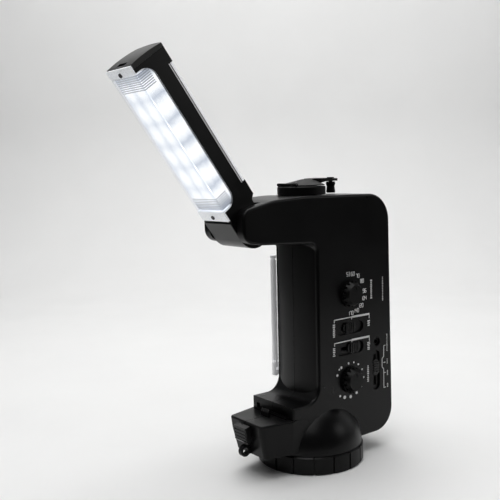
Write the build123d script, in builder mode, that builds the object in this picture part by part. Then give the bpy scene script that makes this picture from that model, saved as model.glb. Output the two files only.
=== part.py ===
from build123d import *
import os
from math import cos, pi, radians, sin

# Hand-crank emergency radio with a torch, standing on its torch bezel.
# Frame: origin at the centre of the torch bezel's front face, on the ground.
# +Z up, -X (front) towards the lamp handle, +X back, -Y towards the control panel.
# The lamp handle is modelled in its raised (open) position.

# ---------------------------------------------------------------- shared dimensions
THICK = 47.2                           # body thickness between the two side panels
HALF = THICK / 2
WALL = 2.6                             # shell wall
SEAM = 0.15                            # half gap of the shell parting line
EDGE_R = 1.8                           # rounding of the panel edges

DOME_R, DOME_RISE, DOME_Z = 39.0, 35.0, 13.8   # dome over the torch
COL_X, COL_CROWN = -11.5, 3.3          # grip column: front face and its crown
STEP_X, STEP_Z = -36.7, 50.0           # upper step
LOW_X, LOW_Z = -62.3, 40.9             # lower step
BLOCK_Z0 = 16.0                        # underside of the step block

HINGE_X, HINGE_Z = -61.7, 179.6        # lamp handle hinge axis, along Y
LEAN = radians(36.0)                   # lean of the raised handle from vertical
BAR_HALF_W, BAR_HALF_D = 15.6, 13.9    # half width (Y) and half depth of the handle
KNUCKLE_R = BAR_HALF_D
PIN_R = 2.5

TONGUE_X, TONGUE_HALF_W = -43.2, 4.4   # latch tongue

# Places on the control panel, as (x, z)
TUNING = (20.6, 126.0)
VOLUME = (20.6, 60.6)
BAND = (20.4, 100.4)
LAMP = (20.4, 84.8)
MODE = (48.2, 63.2)
JACK = (49.2, 85.2)

CRANK_X = -5.0                         # crank axis
STEM_X, STEM_Z = -7.0, 64.0            # antenna swivel stem
SPEAKER = (31.0, 141.0)                # x, z
DOOR_X, DOOR_Z = 32.0, 81.0            # centre of the battery door
DOOR_W, DOOR_L = 56.0, 54.0            # its opening along X and Z
PORT_Z = 92.0                          # charging port, on the back edge

PROUD = 1.0                            # height outside a panel where its cuts start
THROUGH = 8.0                          # length of a cut through a panel wall

# ---------------------------------------------------------------- planes
# Panel planes look out of each side panel; the plain side's sketches run along -X.
PANEL = Plane(origin=(0, -HALF, 0), x_dir=(1, 0, 0), z_dir=(0, -1, 0))
FAR = Plane(origin=(0, HALF, 0), x_dir=(-1, 0, 0), z_dir=(0, 1, 0))

# Handle coordinates: u runs along the bar from the hinge, v across its depth.
# -v is the lit face, +v the outer face.
HINGE = (HINGE_X, 0, HINGE_Z)
ACROSS = Plane(origin=HINGE, x_dir=(cos(LEAN), 0, sin(LEAN)),
               z_dir=(-sin(LEAN), 0, cos(LEAN)))                 # sketched in v, y
SIDE = Plane(origin=HINGE, x_dir=(cos(LEAN), 0, sin(LEAN)), z_dir=(0, -1, 0))   # in v, u


def at_x(x):
    """Plane across X, sketched in y, z."""
    return Plane.YZ.offset(x)


def at_y(y):
    """Plane across Y looking towards -Y, sketched in x, z."""
    return Plane.XZ.offset(-y)


def at_z(z):
    """Plane across Z, sketched in x, y."""
    return Plane.XY.offset(z)


def bar_face(v):
    """Plane parallel to the handle's faces, looking towards +v, sketched in y, u."""
    return Plane(origin=ACROSS.from_local_coords((v, 0, 0)), x_dir=(0, 1, 0),
                 z_dir=ACROSS.x_dir)


def panel_at(x, z, height):
    """Plane centred on a control, at a height outside the control panel."""
    return Plane(origin=(x, -HALF - height, z), x_dir=(1, 0, 0), z_dir=(0, -1, 0))


# ---------------------------------------------------------------- helpers
os.makedirs("parts", exist_ok=True)


def out(builder, name):
    builder.part.label = name
    export_step(builder.part, f"parts/{name}.step")


def corners(table):
    """Points of a table whose rows are x, y, corner radius."""
    return [(x, y) for x, y, _ in table]


def rounded(sketch, table):
    """Round the corners of a sketch whose radius in the table is not zero."""
    for x, y, radius in table:
        if radius:
            fillet(sketch.vertices().sort_by_distance(Vector(x, y, 0))[0], radius)


def disc_stack(axis_x, discs):
    """Coaxial upright discs, each given as base z, radius, height."""
    with BuildPart() as stack:
        for z, radius, height in discs:
            with BuildSketch(Plane(origin=(axis_x, 0, z))):
                Circle(radius)
            extrude(amount=height)
    return stack


# ---------------------------------------------------------------- body volume
FOOT_R, SHOULDER_R = 18.0, 20.5        # lower and upper back corners
BODY_OUTLINE = [                       # x, z, corner radius
    (-76.6, 170.6, 9.0), (-60.0, 168.0, 30.0), (COL_X, 165.6, 6.5), (COL_X, STEP_Z, 11.5),
    (STEP_X, STEP_Z, 0), (STEP_X, LOW_Z, 0), (-24.0, 38.0, 0), (-16.0, 24.0, 0),
    (-13.0, 13.9, 0), (36.0, 13.9, 0), (66.9, 14.2, FOOT_R), (63.3, 199.1, SHOULDER_R),
    (-22.0, 199.9, 60.0), (-50.0, 198.2, 60.0), (-76.8, 192.2, 7.5),
]
CROWN_HEIGHT = 116.6
CROWN_OVERLAP = 0.4                    # how far the crown sinks into the column

BLOCK_BACK_X = -8.0
BLOCK_CORNER_R = 3.5
# z, then the plan: front x, front half width, bend x, bend half width, back half width
BLOCK_OUTER = [
    (BLOCK_Z0, (-57.3, 17.0, -36.0, 22.3, 23.0)),
    (31.8, (-61.2, 18.0, -36.5, 23.2, 23.5)),
    (LOW_Z, (LOW_X, 18.4, STEP_X, 23.55, 23.57)),
]
BLOCK_INNER = [
    (BLOCK_Z0 + WALL, (-54.6, 14.6, -36.0, 18.6, 19.4)),
    (LOW_Z - WALL, (-59.0, 15.6, -36.0, 19.4, 20.0)),
]


def block_plan(front_x, front_y, bend_x, bend_y, back_y, radius=0):
    """Plan of the step block as x, y, corner radius."""
    return [(front_x, -front_y, radius), (bend_x, -bend_y, 0), (BLOCK_BACK_X, -back_y, 0),
            (BLOCK_BACK_X, back_y, 0), (bend_x, bend_y, 0), (front_x, front_y, radius)]


with BuildPart() as panel_body:
    with BuildSketch(Plane.XZ) as profile:
        with BuildLine():
            Polyline(*corners(BODY_OUTLINE), close=True)
        make_face()
        rounded(profile, BODY_OUTLINE)
    extrude(amount=HALF, both=True)
    rim = panel_body.edges().filter_by(lambda e: abs(abs(e.center().Y) - HALF) < 0.01)
    fillet(rim, EDGE_R)

# bowed front of the grip column
crown_end = (COL_X + CROWN_OVERLAP, HALF - EDGE_R)
crown_start = (COL_X + CROWN_OVERLAP, -HALF + EDGE_R)
with BuildPart() as crown:
    with BuildSketch(at_z(STEP_Z)):
        with BuildLine():
            ThreePointArc(crown_start, (COL_X - COL_CROWN, 0), crown_end)
            Line(crown_end, crown_start)
        make_face()
    extrude(amount=CROWN_HEIGHT)

# lower step block, tapered in plan and leaning in at the foot
with BuildPart() as block:
    for z, plan in BLOCK_OUTER:
        plan_points = block_plan(*plan, radius=BLOCK_CORNER_R)
        with BuildSketch(at_z(z)) as section:
            with BuildLine():
                Polyline(*corners(plan_points), close=True)
            make_face()
            rounded(section, plan_points)
    loft(ruled=True)
    block_top = block.faces().sort_by(Axis.Z)[-1]
    fillet(block_top.edges().filter_by(lambda e: e.center().X < -45), 1.2)

with BuildPart() as dome:
    with BuildSketch(Plane.XZ):
        with BuildLine():
            EllipticalCenterArc((0, DOME_Z), DOME_R, DOME_RISE, start_angle=0, arc_size=90)
            Line((0, DOME_Z + DOME_RISE), (0, DOME_Z))
            Line((0, DOME_Z), (DOME_R, DOME_Z))
        make_face()
    revolve(axis=Axis.Z)

# low lip along the foot of the upper step's wall
with BuildPart() as step_lip:
    with BuildSketch(at_z(LOW_Z - 0.5)):
        with Locations((STEP_X - 1.5, 0)):
            RectangleRounded(1.2, 35.0, 0.55)
    extrude(amount=1.5)

with BuildPart() as outer:
    for volume in (panel_body, crown, block, dome, step_lip):
        add(volume.part)

# ---------------------------------------------------------------- hollow
HOLLOW_OUTLINE = [                     # x, z, corner radius
    (-42.0, 170.4, 0), (COL_X + WALL, 168.6, 0), (COL_X + WALL, STEP_Z - WALL, 0),
    (STEP_X + WALL, STEP_Z - WALL, 0), (STEP_X + WALL, 35.0, 0), (-20.0, 30.0, 0),
    (-12.0, 16.6, 0), (36.0, 16.6, 0), (64.2, 16.9, FOOT_R - WALL),
    (60.7, 196.5, SHOULDER_R - WALL), (-20.0, 197.2, 0), (-42.0, 195.6, 0),
]
DOME_IN_R, DOME_IN_RISE = DOME_R - WALL, DOME_RISE - WALL
DOME_SKIRT = 2.0                       # how far the hollow drops below the dome's base

with BuildPart() as hollow:
    with BuildSketch(Plane.XZ) as profile:
        with BuildLine():
            Polyline(*corners(HOLLOW_OUTLINE), close=True)
        make_face()
        rounded(profile, HOLLOW_OUTLINE)
    extrude(amount=HALF - WALL, both=True)
    for z, plan in BLOCK_INNER:
        with BuildSketch(at_z(z)):
            Polygon(*corners(block_plan(*plan)), align=None)
    loft(ruled=True)
    with BuildSketch(Plane.XZ):
        with BuildLine():
            EllipticalCenterArc((0, DOME_Z), DOME_IN_R, DOME_IN_RISE,
                                start_angle=0, arc_size=90)
            Line((0, DOME_Z + DOME_IN_RISE), (0, DOME_Z - DOME_SKIRT))
            Line((0, DOME_Z - DOME_SKIRT), (DOME_IN_R, DOME_Z - DOME_SKIRT))
            Line((DOME_IN_R, DOME_Z - DOME_SKIRT), (DOME_IN_R, DOME_Z))
        make_face()
    revolve(axis=Axis.Z)

# ---------------------------------------------------------------- openings
EAR_Y = 16.1                           # inner faces of the clevis ears
SWING_GAP = 0.55                       # clearance round the handle
SWING_ROOM = [                         # x, z of the space the closing handle sweeps
    (-90, 150), (-45.6, 150), (-46.2, 166), (-47.25, 180.6), (HINGE_X, HINGE_Z), (-90, 205),
]
RECESS = 1.6                           # depth of the switch recesses and the door ledge
SHAFT_HOLE_R, JACK_HOLE_R = 3.3, 3.4
SLOT_W, SLOT_H = 28.0, 9.4             # recesses of the band and lamp switches
MODE_L, MODE_W = 31.2, 8.2             # recess of the upright mode switch
GRILLE_R, GRILLE_PITCH, GRILLE_SLOT = 15.2, 3.4, 1.6
DOOR_LEDGE = 2.5                       # width of the ledge round the door

with BuildPart() as clevis_slot:
    # room for the handle knuckle and neck, from open to closed
    with BuildSketch(SIDE):
        Circle(KNUCKLE_R + SWING_GAP)
    extrude(amount=EAR_Y, both=True)
    with BuildSketch(SIDE):
        with Locations((0, 30)):
            Rectangle(2 * (BAR_HALF_D + SWING_GAP), 60)
    extrude(amount=EAR_Y, both=True)
    with BuildSketch(Plane.XZ):
        with BuildLine():
            Polyline(*SWING_ROOM, close=True)
        make_face()
    extrude(amount=EAR_Y, both=True)

with BuildPart() as panel_openings:
    # control shafts
    with BuildSketch(PANEL.offset(PROUD)):
        with Locations(TUNING, VOLUME):
            Circle(SHAFT_HOLE_R)
    extrude(amount=-THROUGH)
    # recesses and stem windows of the three slide switches
    with BuildSketch(PANEL.offset(PROUD)):
        with Locations(BAND, LAMP):
            SlotOverall(SLOT_W, SLOT_H)
        with Locations(MODE):
            SlotOverall(MODE_L, MODE_W, rotation=90)
    extrude(amount=-(PROUD + RECESS))
    with BuildSketch(PANEL.offset(PROUD)):
        with Locations(BAND, LAMP):
            Rectangle(16.0, 3.2)
        with Locations(MODE):
            Rectangle(2.6, 24.5)
    extrude(amount=-THROUGH)
    # earphone socket
    with BuildSketch(PANEL.offset(PROUD)):
        with Locations(JACK):
            Circle(JACK_HOLE_R)
    extrude(amount=-THROUGH)

with BuildPart() as far_openings:
    # speaker grille slots, ending on a circle
    with BuildSketch(FAR.offset(PROUD)):
        for k in range(-4, 5):
            half_length = (GRILLE_R ** 2 - (k * GRILLE_PITCH) ** 2) ** 0.5
            with Locations((-SPEAKER[0], SPEAKER[1] + k * GRILLE_PITCH)):
                SlotOverall(2 * half_length, GRILLE_SLOT)
    extrude(amount=-THROUGH)
    # battery opening with a ledge for the door
    with BuildSketch(FAR.offset(PROUD)):
        with Locations((-DOOR_X, DOOR_Z)):
            RectangleRounded(DOOR_W, DOOR_L, 3)
    extrude(amount=-(PROUD + RECESS))
    with BuildSketch(FAR.offset(PROUD)):
        with Locations((-DOOR_X, DOOR_Z)):
            RectangleRounded(DOOR_W - 2 * DOOR_LEDGE, DOOR_L - 2 * DOOR_LEDGE, 2)
    extrude(amount=-THROUGH)
    # antenna stem bore in the column's plain side
    with BuildSketch(FAR.offset(PROUD)):
        with Locations((-STEM_X, STEM_Z)):
            Circle(2.46)
    extrude(amount=-THROUGH)

with BuildPart() as common_openings:
    # crank shaft on top
    with BuildSketch(at_z(190)):
        with Locations((CRANK_X, 0)):
            Circle(4.05)
    extrude(amount=20)
    # charging socket window on the back edge, and the seat of its cover
    with BuildSketch(at_x(58)):
        with Locations((0, PORT_Z)):
            RectangleRounded(14.0, 9.0, 1.5)
    extrude(amount=12)
    with BuildSketch(at_x(64.3)):
        with Locations((0, PORT_Z)):
            RectangleRounded(21.0, 14.0, 3)
    extrude(amount=4)
    # latch tongue slot in the lower step
    with BuildSketch(at_z(LOW_Z - 5)):
        with Locations((TONGUE_X, 0)):
            Rectangle(2.6, 2 * TONGUE_HALF_W + 1.0)
    extrude(amount=8)
    # long shadow groove in the upper step's wall
    with BuildSketch(at_x(STEP_X - 2.0)):
        with Locations((0, LOW_Z + 2.9)):
            RectangleRounded(37.0, 3.8, 0.8)
    extrude(amount=3.5)
    # groove for the port cover's hinge barrel
    with BuildSketch(Plane.XZ):
        with Locations((67.0, 85.1)):
            Rectangle(3.8, 0.9)
    extrude(amount=7.7, both=True)
    # latch stem window in the front of the step block
    with BuildSketch(at_x(-70)):
        with Locations((0, 31.0)):
            Rectangle(8.6, 13.0)
    extrude(amount=16)

with BuildPart() as pin_bore:
    with BuildSketch(SIDE):
        Circle(PIN_R + 0.02)
    extrude(amount=21.0, both=True)

# ---------------------------------------------------------------- the two shells
# x, z of the screw posts joining the shells
POSTS = [(-36.0, 182.0), (54.0, 186.0), (57.0, 116.0), (56.0, 30.0), (-28.0, 31.0),
         (-3.5, 140.0)]
POST_R = 3.6
POST_SKIN = 1.0                        # post ends lie this far inside the panel face
HEAD_Y = HALF - 4.6                    # seat of the screw heads, on the plain side
HEAD_H = 2.0

with BuildPart() as bores_near:
    with BuildSketch(Plane.XZ):
        with Locations(*POSTS):
            Circle(1.35)
    extrude(amount=14)
with BuildPart() as bores_far:
    with BuildSketch(Plane.XZ):
        with Locations(*POSTS):
            Circle(1.6)
    extrude(amount=-30)
    with BuildSketch(at_y(HEAD_Y)):
        with Locations(*POSTS):
            Circle(3.0)
    extrude(amount=-8)


def shell_half(side, bores, openings):
    """One shell with its posts; side is 1 for the -Y half and -1 for the +Y half."""
    with BuildPart() as posts:
        with BuildSketch(at_y(-side * SEAM)):
            with Locations(*POSTS):
                Circle(POST_R)
        extrude(amount=side * (HALF - POST_SKIN - SEAM))
    with BuildPart() as shell:
        add(outer.part)
        add(hollow.part, mode=Mode.SUBTRACT)
        # keep this side of the parting line
        with BuildSketch(at_y(-side * SEAM)):
            with Locations((0, 100)):
                Rectangle(400, 400)
        extrude(amount=side * 60, mode=Mode.INTERSECT)
        add(posts.part)
        add(outer.part, mode=Mode.INTERSECT)
        for cut in (bores, clevis_slot, pin_bore, openings, common_openings):
            add(cut.part, mode=Mode.SUBTRACT)
    return shell


out(shell_half(1, bores_near, panel_openings), "control_side_shell")
out(shell_half(-1, bores_far, far_openings), "plain_side_shell")

SCREW_REACH = 12.0                     # screws end this far into the control side

with BuildPart() as shell_screws:
    with BuildSketch(at_y(-SCREW_REACH)):
        with Locations(*POSTS):
            Circle(1.3)
    extrude(amount=-(SCREW_REACH + HEAD_Y))
    with BuildSketch(at_y(HEAD_Y)):
        with Locations(*POSTS):
            Circle(2.7)
    extrude(amount=-HEAD_H)
    # cross recess
    with BuildSketch(at_y(HEAD_Y + HEAD_H)):
        with Locations(*POSTS):
            Rectangle(3.2, 0.7)
            Rectangle(0.7, 3.2)
    extrude(amount=1.1, mode=Mode.SUBTRACT)
out(shell_screws, "shell_screws")

# ---------------------------------------------------------------- torch head
BEZEL_R, BEZEL_H = 40.0, 13.2
BEZEL_GROOVES = 17
BEZEL_PROFILE = [                      # radius, z
    (31.5, 0.0), (38.8, 0.0), (BEZEL_R, 1.2), (BEZEL_R, BEZEL_H - 0.8),
    (BEZEL_R - 0.8, BEZEL_H), (36.0, BEZEL_H), (36.0, 18.0), (33.8, 18.0), (33.8, 2.2),
    (31.5, 2.2),
]
LENS_R = 33.6
TORCH_BOARD_Z, TORCH_BOARD_T = 26.6, 1.6

with BuildPart() as torch_bezel_ring:
    with BuildSketch(Plane.XZ):
        with BuildLine():
            Polyline(*BEZEL_PROFILE, close=True)
        make_face()
    revolve(axis=Axis.Z)
    # upright grip grooves round the rim
    with BuildSketch(at_z(-1)):
        with PolarLocations(BEZEL_R + 0.2, BEZEL_GROOVES, start_angle=-64.6):
            Rectangle(2.8, 1.5)
    extrude(amount=BEZEL_H + 2, mode=Mode.SUBTRACT)
out(torch_bezel_ring, "torch_bezel_ring")

with BuildPart() as torch_lens:
    with BuildSketch(at_z(2.25)):
        Circle(LENS_R)
    extrude(amount=1.8)
    chamfer(torch_lens.edges().sort_by(Axis.Z)[0], 0.3)
out(torch_lens, "torch_lens")

# thin bowl, drawn as radius, z: rim, outer arc, neck, inner arc
with BuildPart() as torch_reflector:
    with BuildSketch(Plane.XZ):
        with BuildLine():
            Polyline((LENS_R, 4.2), (LENS_R, 5.4), (32.9, 5.4))
            ThreePointArc((32.9, 5.4), (22.6, 18.6), (6.6, 26.4))
            Polyline((6.6, 26.4), (5.2, 26.4), (5.2, 25.0))
            ThreePointArc((5.2, 25.0), (21.6, 17.6), (31.6, 4.2))
            Line((31.6, 4.2), (LENS_R, 4.2))
        make_face()
    revolve(axis=Axis.Z)
out(torch_reflector, "torch_reflector")

# board with a notched round block on top
with BuildPart() as torch_led_board:
    with BuildSketch(at_z(TORCH_BOARD_Z)):
        Circle(13.0)
    extrude(amount=TORCH_BOARD_T)
    with BuildSketch(at_z(TORCH_BOARD_Z + TORCH_BOARD_T)):
        Circle(9.0)
        with PolarLocations(8.2, 12):
            Rectangle(3.4, 1.6, mode=Mode.SUBTRACT)
    extrude(amount=6.0)
out(torch_led_board, "torch_led_board")

with BuildPart() as torch_led:
    with BuildSketch(at_z(24.8)):
        Circle(4.2)
    extrude(amount=1.7)
    with BuildSketch(at_z(22.6)):
        Circle(2.6)
    extrude(amount=2.4)
    fillet(torch_led.edges().group_by(Axis.Z)[0], 1.6)
out(torch_led, "torch_led")

# ---------------------------------------------------------------- latch and eyelet
TONGUE_TOP = 45.9
TONGUE_FRONT, TONGUE_BACK = TONGUE_X - 0.8, TONGUE_X + 0.8
TONGUE_TIP = [                         # x, z of the bevelled upper end, back to front
    (TONGUE_BACK, TONGUE_TOP), (TONGUE_X + 0.1, TONGUE_TOP), (TONGUE_FRONT, TONGUE_TOP - 1.8),
]
THUMB_PROFILE = [(-62.8, 38.9), (-67.2, 38.0), (-66.4, 28.0), (-65.0, 26.5), (-61.3, 26.5)]
THUMB_GROOVES = [(-67.0, 35.6), (-66.85, 33.2), (-66.65, 30.8), (-66.45, 28.4)]
CARRIER_PROFILE = [                    # x, z
    (-63.6, 35.6), (-63.6, 29.0), (-55.5, 29.0), (-55.5, 26.6), (TONGUE_BACK, 26.6),
    *TONGUE_TIP, (TONGUE_FRONT, 32.0), (-55.5, 32.0), (-55.5, 35.6),
]
TONGUE_PROFILE = [(TONGUE_BACK, 33.5), *TONGUE_TIP, (TONGUE_FRONT, 33.5)]

with BuildPart() as latch_slider:
    # ribbed thumb button on the front of the step block
    with BuildSketch(Plane.XZ):
        with BuildLine():
            Polyline(*THUMB_PROFILE, close=True)
        make_face()
    extrude(amount=7.0, both=True)
    upright = latch_slider.edges().filter_by(Axis.Z, tolerance=8)
    fillet(upright.filter_by(lambda e: e.center().X < -65), 0.8)
    with BuildSketch(Plane.XZ):
        with Locations(*THUMB_GROOVES):
            Circle(0.55)
    extrude(amount=8.0, both=True, mode=Mode.SUBTRACT)
    # stem through the window, carrier inside and tongue through the step
    with BuildSketch(Plane.XZ):
        with BuildLine():
            Polyline(*CARRIER_PROFILE, close=True)
        make_face()
    extrude(amount=4.0, both=True)
    with BuildSketch(Plane.XZ):
        with BuildLine():
            Polyline(*TONGUE_PROFILE, close=True)
        make_face()
    extrude(amount=TONGUE_HALF_W, both=True)
out(latch_slider, "latch_slider")

with BuildPart() as latch_spring:
    with BuildLine(at_z(19.6)):
        spring_path = Helix(pitch=2.0, height=6.0, radius=2.4, center=(-50.0, 0, 0))
    with BuildSketch(Plane(origin=spring_path @ 0, z_dir=spring_path % 0)):
        Circle(0.35)
    sweep(path=spring_path)
out(latch_spring, "latch_spring")

EYELET_HALF_T = 1.9

# ring with a short tail, trimmed where it meets the body
with BuildPart() as strap_eyelet:
    with BuildSketch(Plane.XZ):
        with Locations((-63.0, 19.7)):
            Circle(4.3)
        with Locations((-59.5, 19.4)):
            Rectangle(5.4, 5.0)
        with Locations((-63.2, 19.7)):
            Circle(2.1, mode=Mode.SUBTRACT)
    extrude(amount=EYELET_HALF_T, both=True)
    ring_edges = strap_eyelet.edges().filter_by(
        lambda e: abs(abs(e.center().Y) - EYELET_HALF_T) < 0.01 and e.center().X < -62)
    fillet(ring_edges, 0.5)
    add(outer.part, mode=Mode.SUBTRACT)
out(strap_eyelet, "strap_eyelet")

# ---------------------------------------------------------------- lamp handle
BAR_END, BAR_TIP = 133.0, 136.0        # u where the housing ends, and of the cap's tip
CAP_START = BAR_END + 0.05
CAP_V0 = -12.3                         # v of the cap on the lit side
CAP_SHOULDER = BAR_TIP - 0.6
WIN_START, WIN_END = 23.4, 130.2       # u of the lamp window
STRIP_START, STRIP_END = 30.6, 122.4   # u of the outer strip's recess
STRIP_MID = (STRIP_START + STRIP_END) / 2
STRIP_L = STRIP_END - STRIP_START
COVER_SCREWS = [(0, 19.8), (0, 131.6)]         # y, u
TIP_PEGS = [(5.0, -9.0), (5.0, 9.0)]           # v, y
POCKET_V, POCKET_W = -9.1, 3.0                 # latch pocket in the tip
POCKET_L = 2 * TONGUE_HALF_W + 1.6

WINDOW_CUT = [                         # v, u, corner radius
    (-20, WIN_START, 0), (-0.4, WIN_START, 8.5), (-0.4, WIN_END, 8.5), (-20, WIN_END, 0),
]
COVER_GAP = 0.15                       # end gap of the cover in its window
COVER_START, COVER_END = WIN_START + COVER_GAP, WIN_END - COVER_GAP
COVER_OUTLINE = [                      # v, u, corner radius
    (-BAR_HALF_D, COVER_START, 0), (-0.55, COVER_START, 8.5 - COVER_GAP),
    (-0.55, COVER_END, 8.5 - COVER_GAP), (-BAR_HALF_D, COVER_END, 0),
]
COVER_HALF_W = BAR_HALF_W - 0.05
HOUSING_PROFILE = [                    # v, u
    (-BAR_HALF_D, 0), (-BAR_HALF_D, BAR_END), (20, BAR_END), (20, 19.9), (13.9, 19.3),
    (10.6, 17.0), (9.6, 9.6), (0, 0),
]

with BuildPart() as lamp_window:
    with BuildSketch(SIDE) as profile:
        with BuildLine():
            Polyline(*corners(WINDOW_CUT), close=True)
        make_face()
        rounded(profile, WINDOW_CUT)
    extrude(amount=20, both=True)

# full section of the bar with its crowned outer face
with BuildPart() as bar_section:
    with BuildSketch(ACROSS) as section:
        with BuildLine():
            Polyline((BAR_HALF_D, -BAR_HALF_W), (-BAR_HALF_D, -BAR_HALF_W),
                     (-BAR_HALF_D, BAR_HALF_W), (BAR_HALF_D, BAR_HALF_W))
            ThreePointArc((BAR_HALF_D, BAR_HALF_W), (BAR_HALF_D + 2.0, 0),
                          (BAR_HALF_D, -BAR_HALF_W))
        make_face()
        fillet(section.vertices(), 0.8)
    extrude(amount=140)

with BuildPart() as handle_housing:
    with BuildSketch(SIDE):
        with BuildLine():
            Polyline(*HOUSING_PROFILE, close=True)
        make_face()
    extrude(amount=BAR_HALF_W, both=True)
    add(bar_section.part, mode=Mode.INTERSECT)
    with BuildSketch(SIDE):
        Circle(KNUCKLE_R)
    extrude(amount=BAR_HALF_W, both=True)
    # trough for the lamp
    with BuildSketch(ACROSS.offset(26.0)):
        with Locations((-4.4, 0)):
            Rectangle(23.2, 26.4)
    extrude(amount=102.0, mode=Mode.SUBTRACT)
    add(lamp_window.part, mode=Mode.SUBTRACT)
    # seats of the cover's end tabs
    with BuildSketch(SIDE):
        with Locations((-14.4, 19.0)):
            Rectangle(4.0, 9.2)
        with Locations((-14.4, BAR_END)):
            Rectangle(4.0, 6.4)
    extrude(amount=20, both=True, mode=Mode.SUBTRACT)
    # recess of the outer strip
    with BuildSketch(SIDE):
        with Locations((15.2, STRIP_MID)):
            Rectangle(10.0, STRIP_L)
    extrude(amount=20, both=True, mode=Mode.SUBTRACT)
    # hinge bore
    with BuildSketch(SIDE):
        Circle(PIN_R + 0.06)
    extrude(amount=20, both=True, mode=Mode.SUBTRACT)
    # cover screw bores
    with BuildSketch(bar_face(-14)):
        with Locations(*COVER_SCREWS):
            Circle(1.05)
    extrude(amount=5.5, mode=Mode.SUBTRACT)
    # shallow latch pocket, then the bores for the cap's pegs
    with BuildSketch(ACROSS.offset(BAR_END)):
        with Locations(*TIP_PEGS):
            Circle(1.05)
        with Locations((POCKET_V, 0)):
            Rectangle(POCKET_W, POCKET_L)
    extrude(amount=-0.4, mode=Mode.SUBTRACT)
    with BuildSketch(ACROSS.offset(BAR_END)):
        with Locations(*TIP_PEGS):
            Circle(1.05)
    extrude(amount=-6.0, mode=Mode.SUBTRACT)
out(handle_housing, "handle_housing")

with BuildPart() as handle_end_cap:
    add(bar_section.part)
    with BuildSketch(SIDE):
        with BuildLine():
            Polyline((CAP_V0, CAP_START), (25, CAP_START), (25, CAP_SHOULDER),
                     (BAR_HALF_D, CAP_SHOULDER))
            ThreePointArc((BAR_HALF_D, CAP_SHOULDER), (0, BAR_TIP + 0.5), (CAP_V0, BAR_TIP))
            Line((CAP_V0, BAR_TIP), (CAP_V0, CAP_START))
        make_face()
    extrude(amount=20, both=True, mode=Mode.INTERSECT)
    with BuildSketch(ACROSS.offset(130)):
        with Locations((POCKET_V, 0)):
            Rectangle(POCKET_W, POCKET_L)
    extrude(amount=10, mode=Mode.SUBTRACT)
    # two pegs that press into the housing
    with BuildSketch(ACROSS.offset(127.6)):
        with Locations(*TIP_PEGS):
            Circle(1.0)
    extrude(amount=5.6)
out(handle_end_cap, "handle_end_cap")


def is_cover_front_edge(edge):
    """True for edges where the cover's lit face meets its two sides."""
    center = edge.center()
    on_face = abs(ACROSS.to_local_coords(center).X + BAR_HALF_D) < 0.05
    return on_face and abs(abs(center.Y) - COVER_HALF_W) < 0.05


# clear U-shaped cover: wraps from the lit face onto both sides
with BuildPart() as lamp_cover:
    with BuildSketch(SIDE) as profile:
        with BuildLine():
            Polyline(*corners(COVER_OUTLINE), close=True)
        make_face()
        rounded(profile, COVER_OUTLINE)
    extrude(amount=COVER_HALF_W, both=True)
    fillet(lamp_cover.edges().filter_by(is_cover_front_edge), 1.6)
    with BuildSketch(ACROSS.offset(WIN_START + 1.6)):
        with Locations((0.5, 0)):
            Rectangle(25.8, 28.2)
    extrude(amount=WIN_END - WIN_START - 2 * 1.6, mode=Mode.SUBTRACT)
    # end tabs with their screw holes
    with BuildSketch(SIDE):
        with Locations((-13.2, 20.2)):
            Rectangle(1.4, 7.2)
        with Locations((-13.2, 132.8)):
            Rectangle(1.4, 5.6)
    extrude(amount=BAR_HALF_W - 0.3, both=True)
    with BuildSketch(bar_face(-20)):
        with Locations(*COVER_SCREWS):
            Circle(1.2)
    extrude(amount=12, mode=Mode.SUBTRACT)
out(lamp_cover, "lamp_cover")

SCREW_TOP_V, SCREW_HEAD_H = -14.6, 0.7

# the two screws of the clear cover
with BuildPart() as handle_screws:
    with BuildSketch(bar_face(SCREW_TOP_V)):
        with Locations(*COVER_SCREWS):
            Circle(1.5)
    extrude(amount=SCREW_HEAD_H)
    with BuildSketch(bar_face(SCREW_TOP_V + SCREW_HEAD_H)):
        with Locations(*COVER_SCREWS):
            Circle(1.0)
    extrude(amount=5.0)
    with BuildSketch(bar_face(SCREW_TOP_V)):
        with Locations(*COVER_SCREWS):
            Rectangle(1.9, 0.5)
            Rectangle(0.5, 1.9)
    extrude(amount=0.5, mode=Mode.SUBTRACT)
out(handle_screws, "handle_screws")

LED_R, LED_V = 2.5, -4.6               # radius, and v of the dome's centre
LED_SPOTS = [(y, 34.5 + 17.0 * k) for k in range(6) for y in (-6.5, 6.5)]   # y, u
TRAY_SECTION = [                       # v, y
    (-3.4, -9.0), (-3.4, 9.0), (-5.2, 13.4), (-3.6, 13.4), (-1.6, 9.6), (-1.6, -9.6),
    (-3.6, -13.4), (-5.2, -13.4),
]

# shallow tray with a hole round each LED
with BuildPart() as lamp_reflector:
    with BuildSketch(ACROSS.offset(26.4)):
        with BuildLine():
            Polyline(*TRAY_SECTION, close=True)
        make_face()
    extrude(amount=100.8)
    with BuildSketch(bar_face(-8)):
        with Locations(*LED_SPOTS):
            Circle(2.9)
    extrude(amount=10, mode=Mode.SUBTRACT)
out(lamp_reflector, "lamp_reflector")

with BuildPart() as lamp_led_board:
    with BuildSketch(ACROSS.offset(27.0)):
        with Locations((-0.7, 0)):
            Rectangle(1.6, 25.0)
    extrude(amount=99.6)
out(lamp_led_board, "lamp_led_board")

with BuildPart() as lamp_leds:
    with BuildSketch(bar_face(LED_V)):
        with Locations(*LED_SPOTS):
            Circle(LED_R)
    extrude(amount=3.1)
    for y, along in LED_SPOTS:
        with Locations(ACROSS.from_local_coords((LED_V, y, along))):
            Sphere(LED_R)
out(lamp_leds, "lamp_leds")

STRIP_V0, STRIP_V1 = 10.25, 13.4       # v of the strip cover's base and side edges
STRIP_HALF_W = 15.1
SOLAR_W = 26.6
SOLAR_START = STRIP_START + 2.2
SOLAR_L = STRIP_L - 2 * 2.2
SOLAR_CELLS = 8

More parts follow.
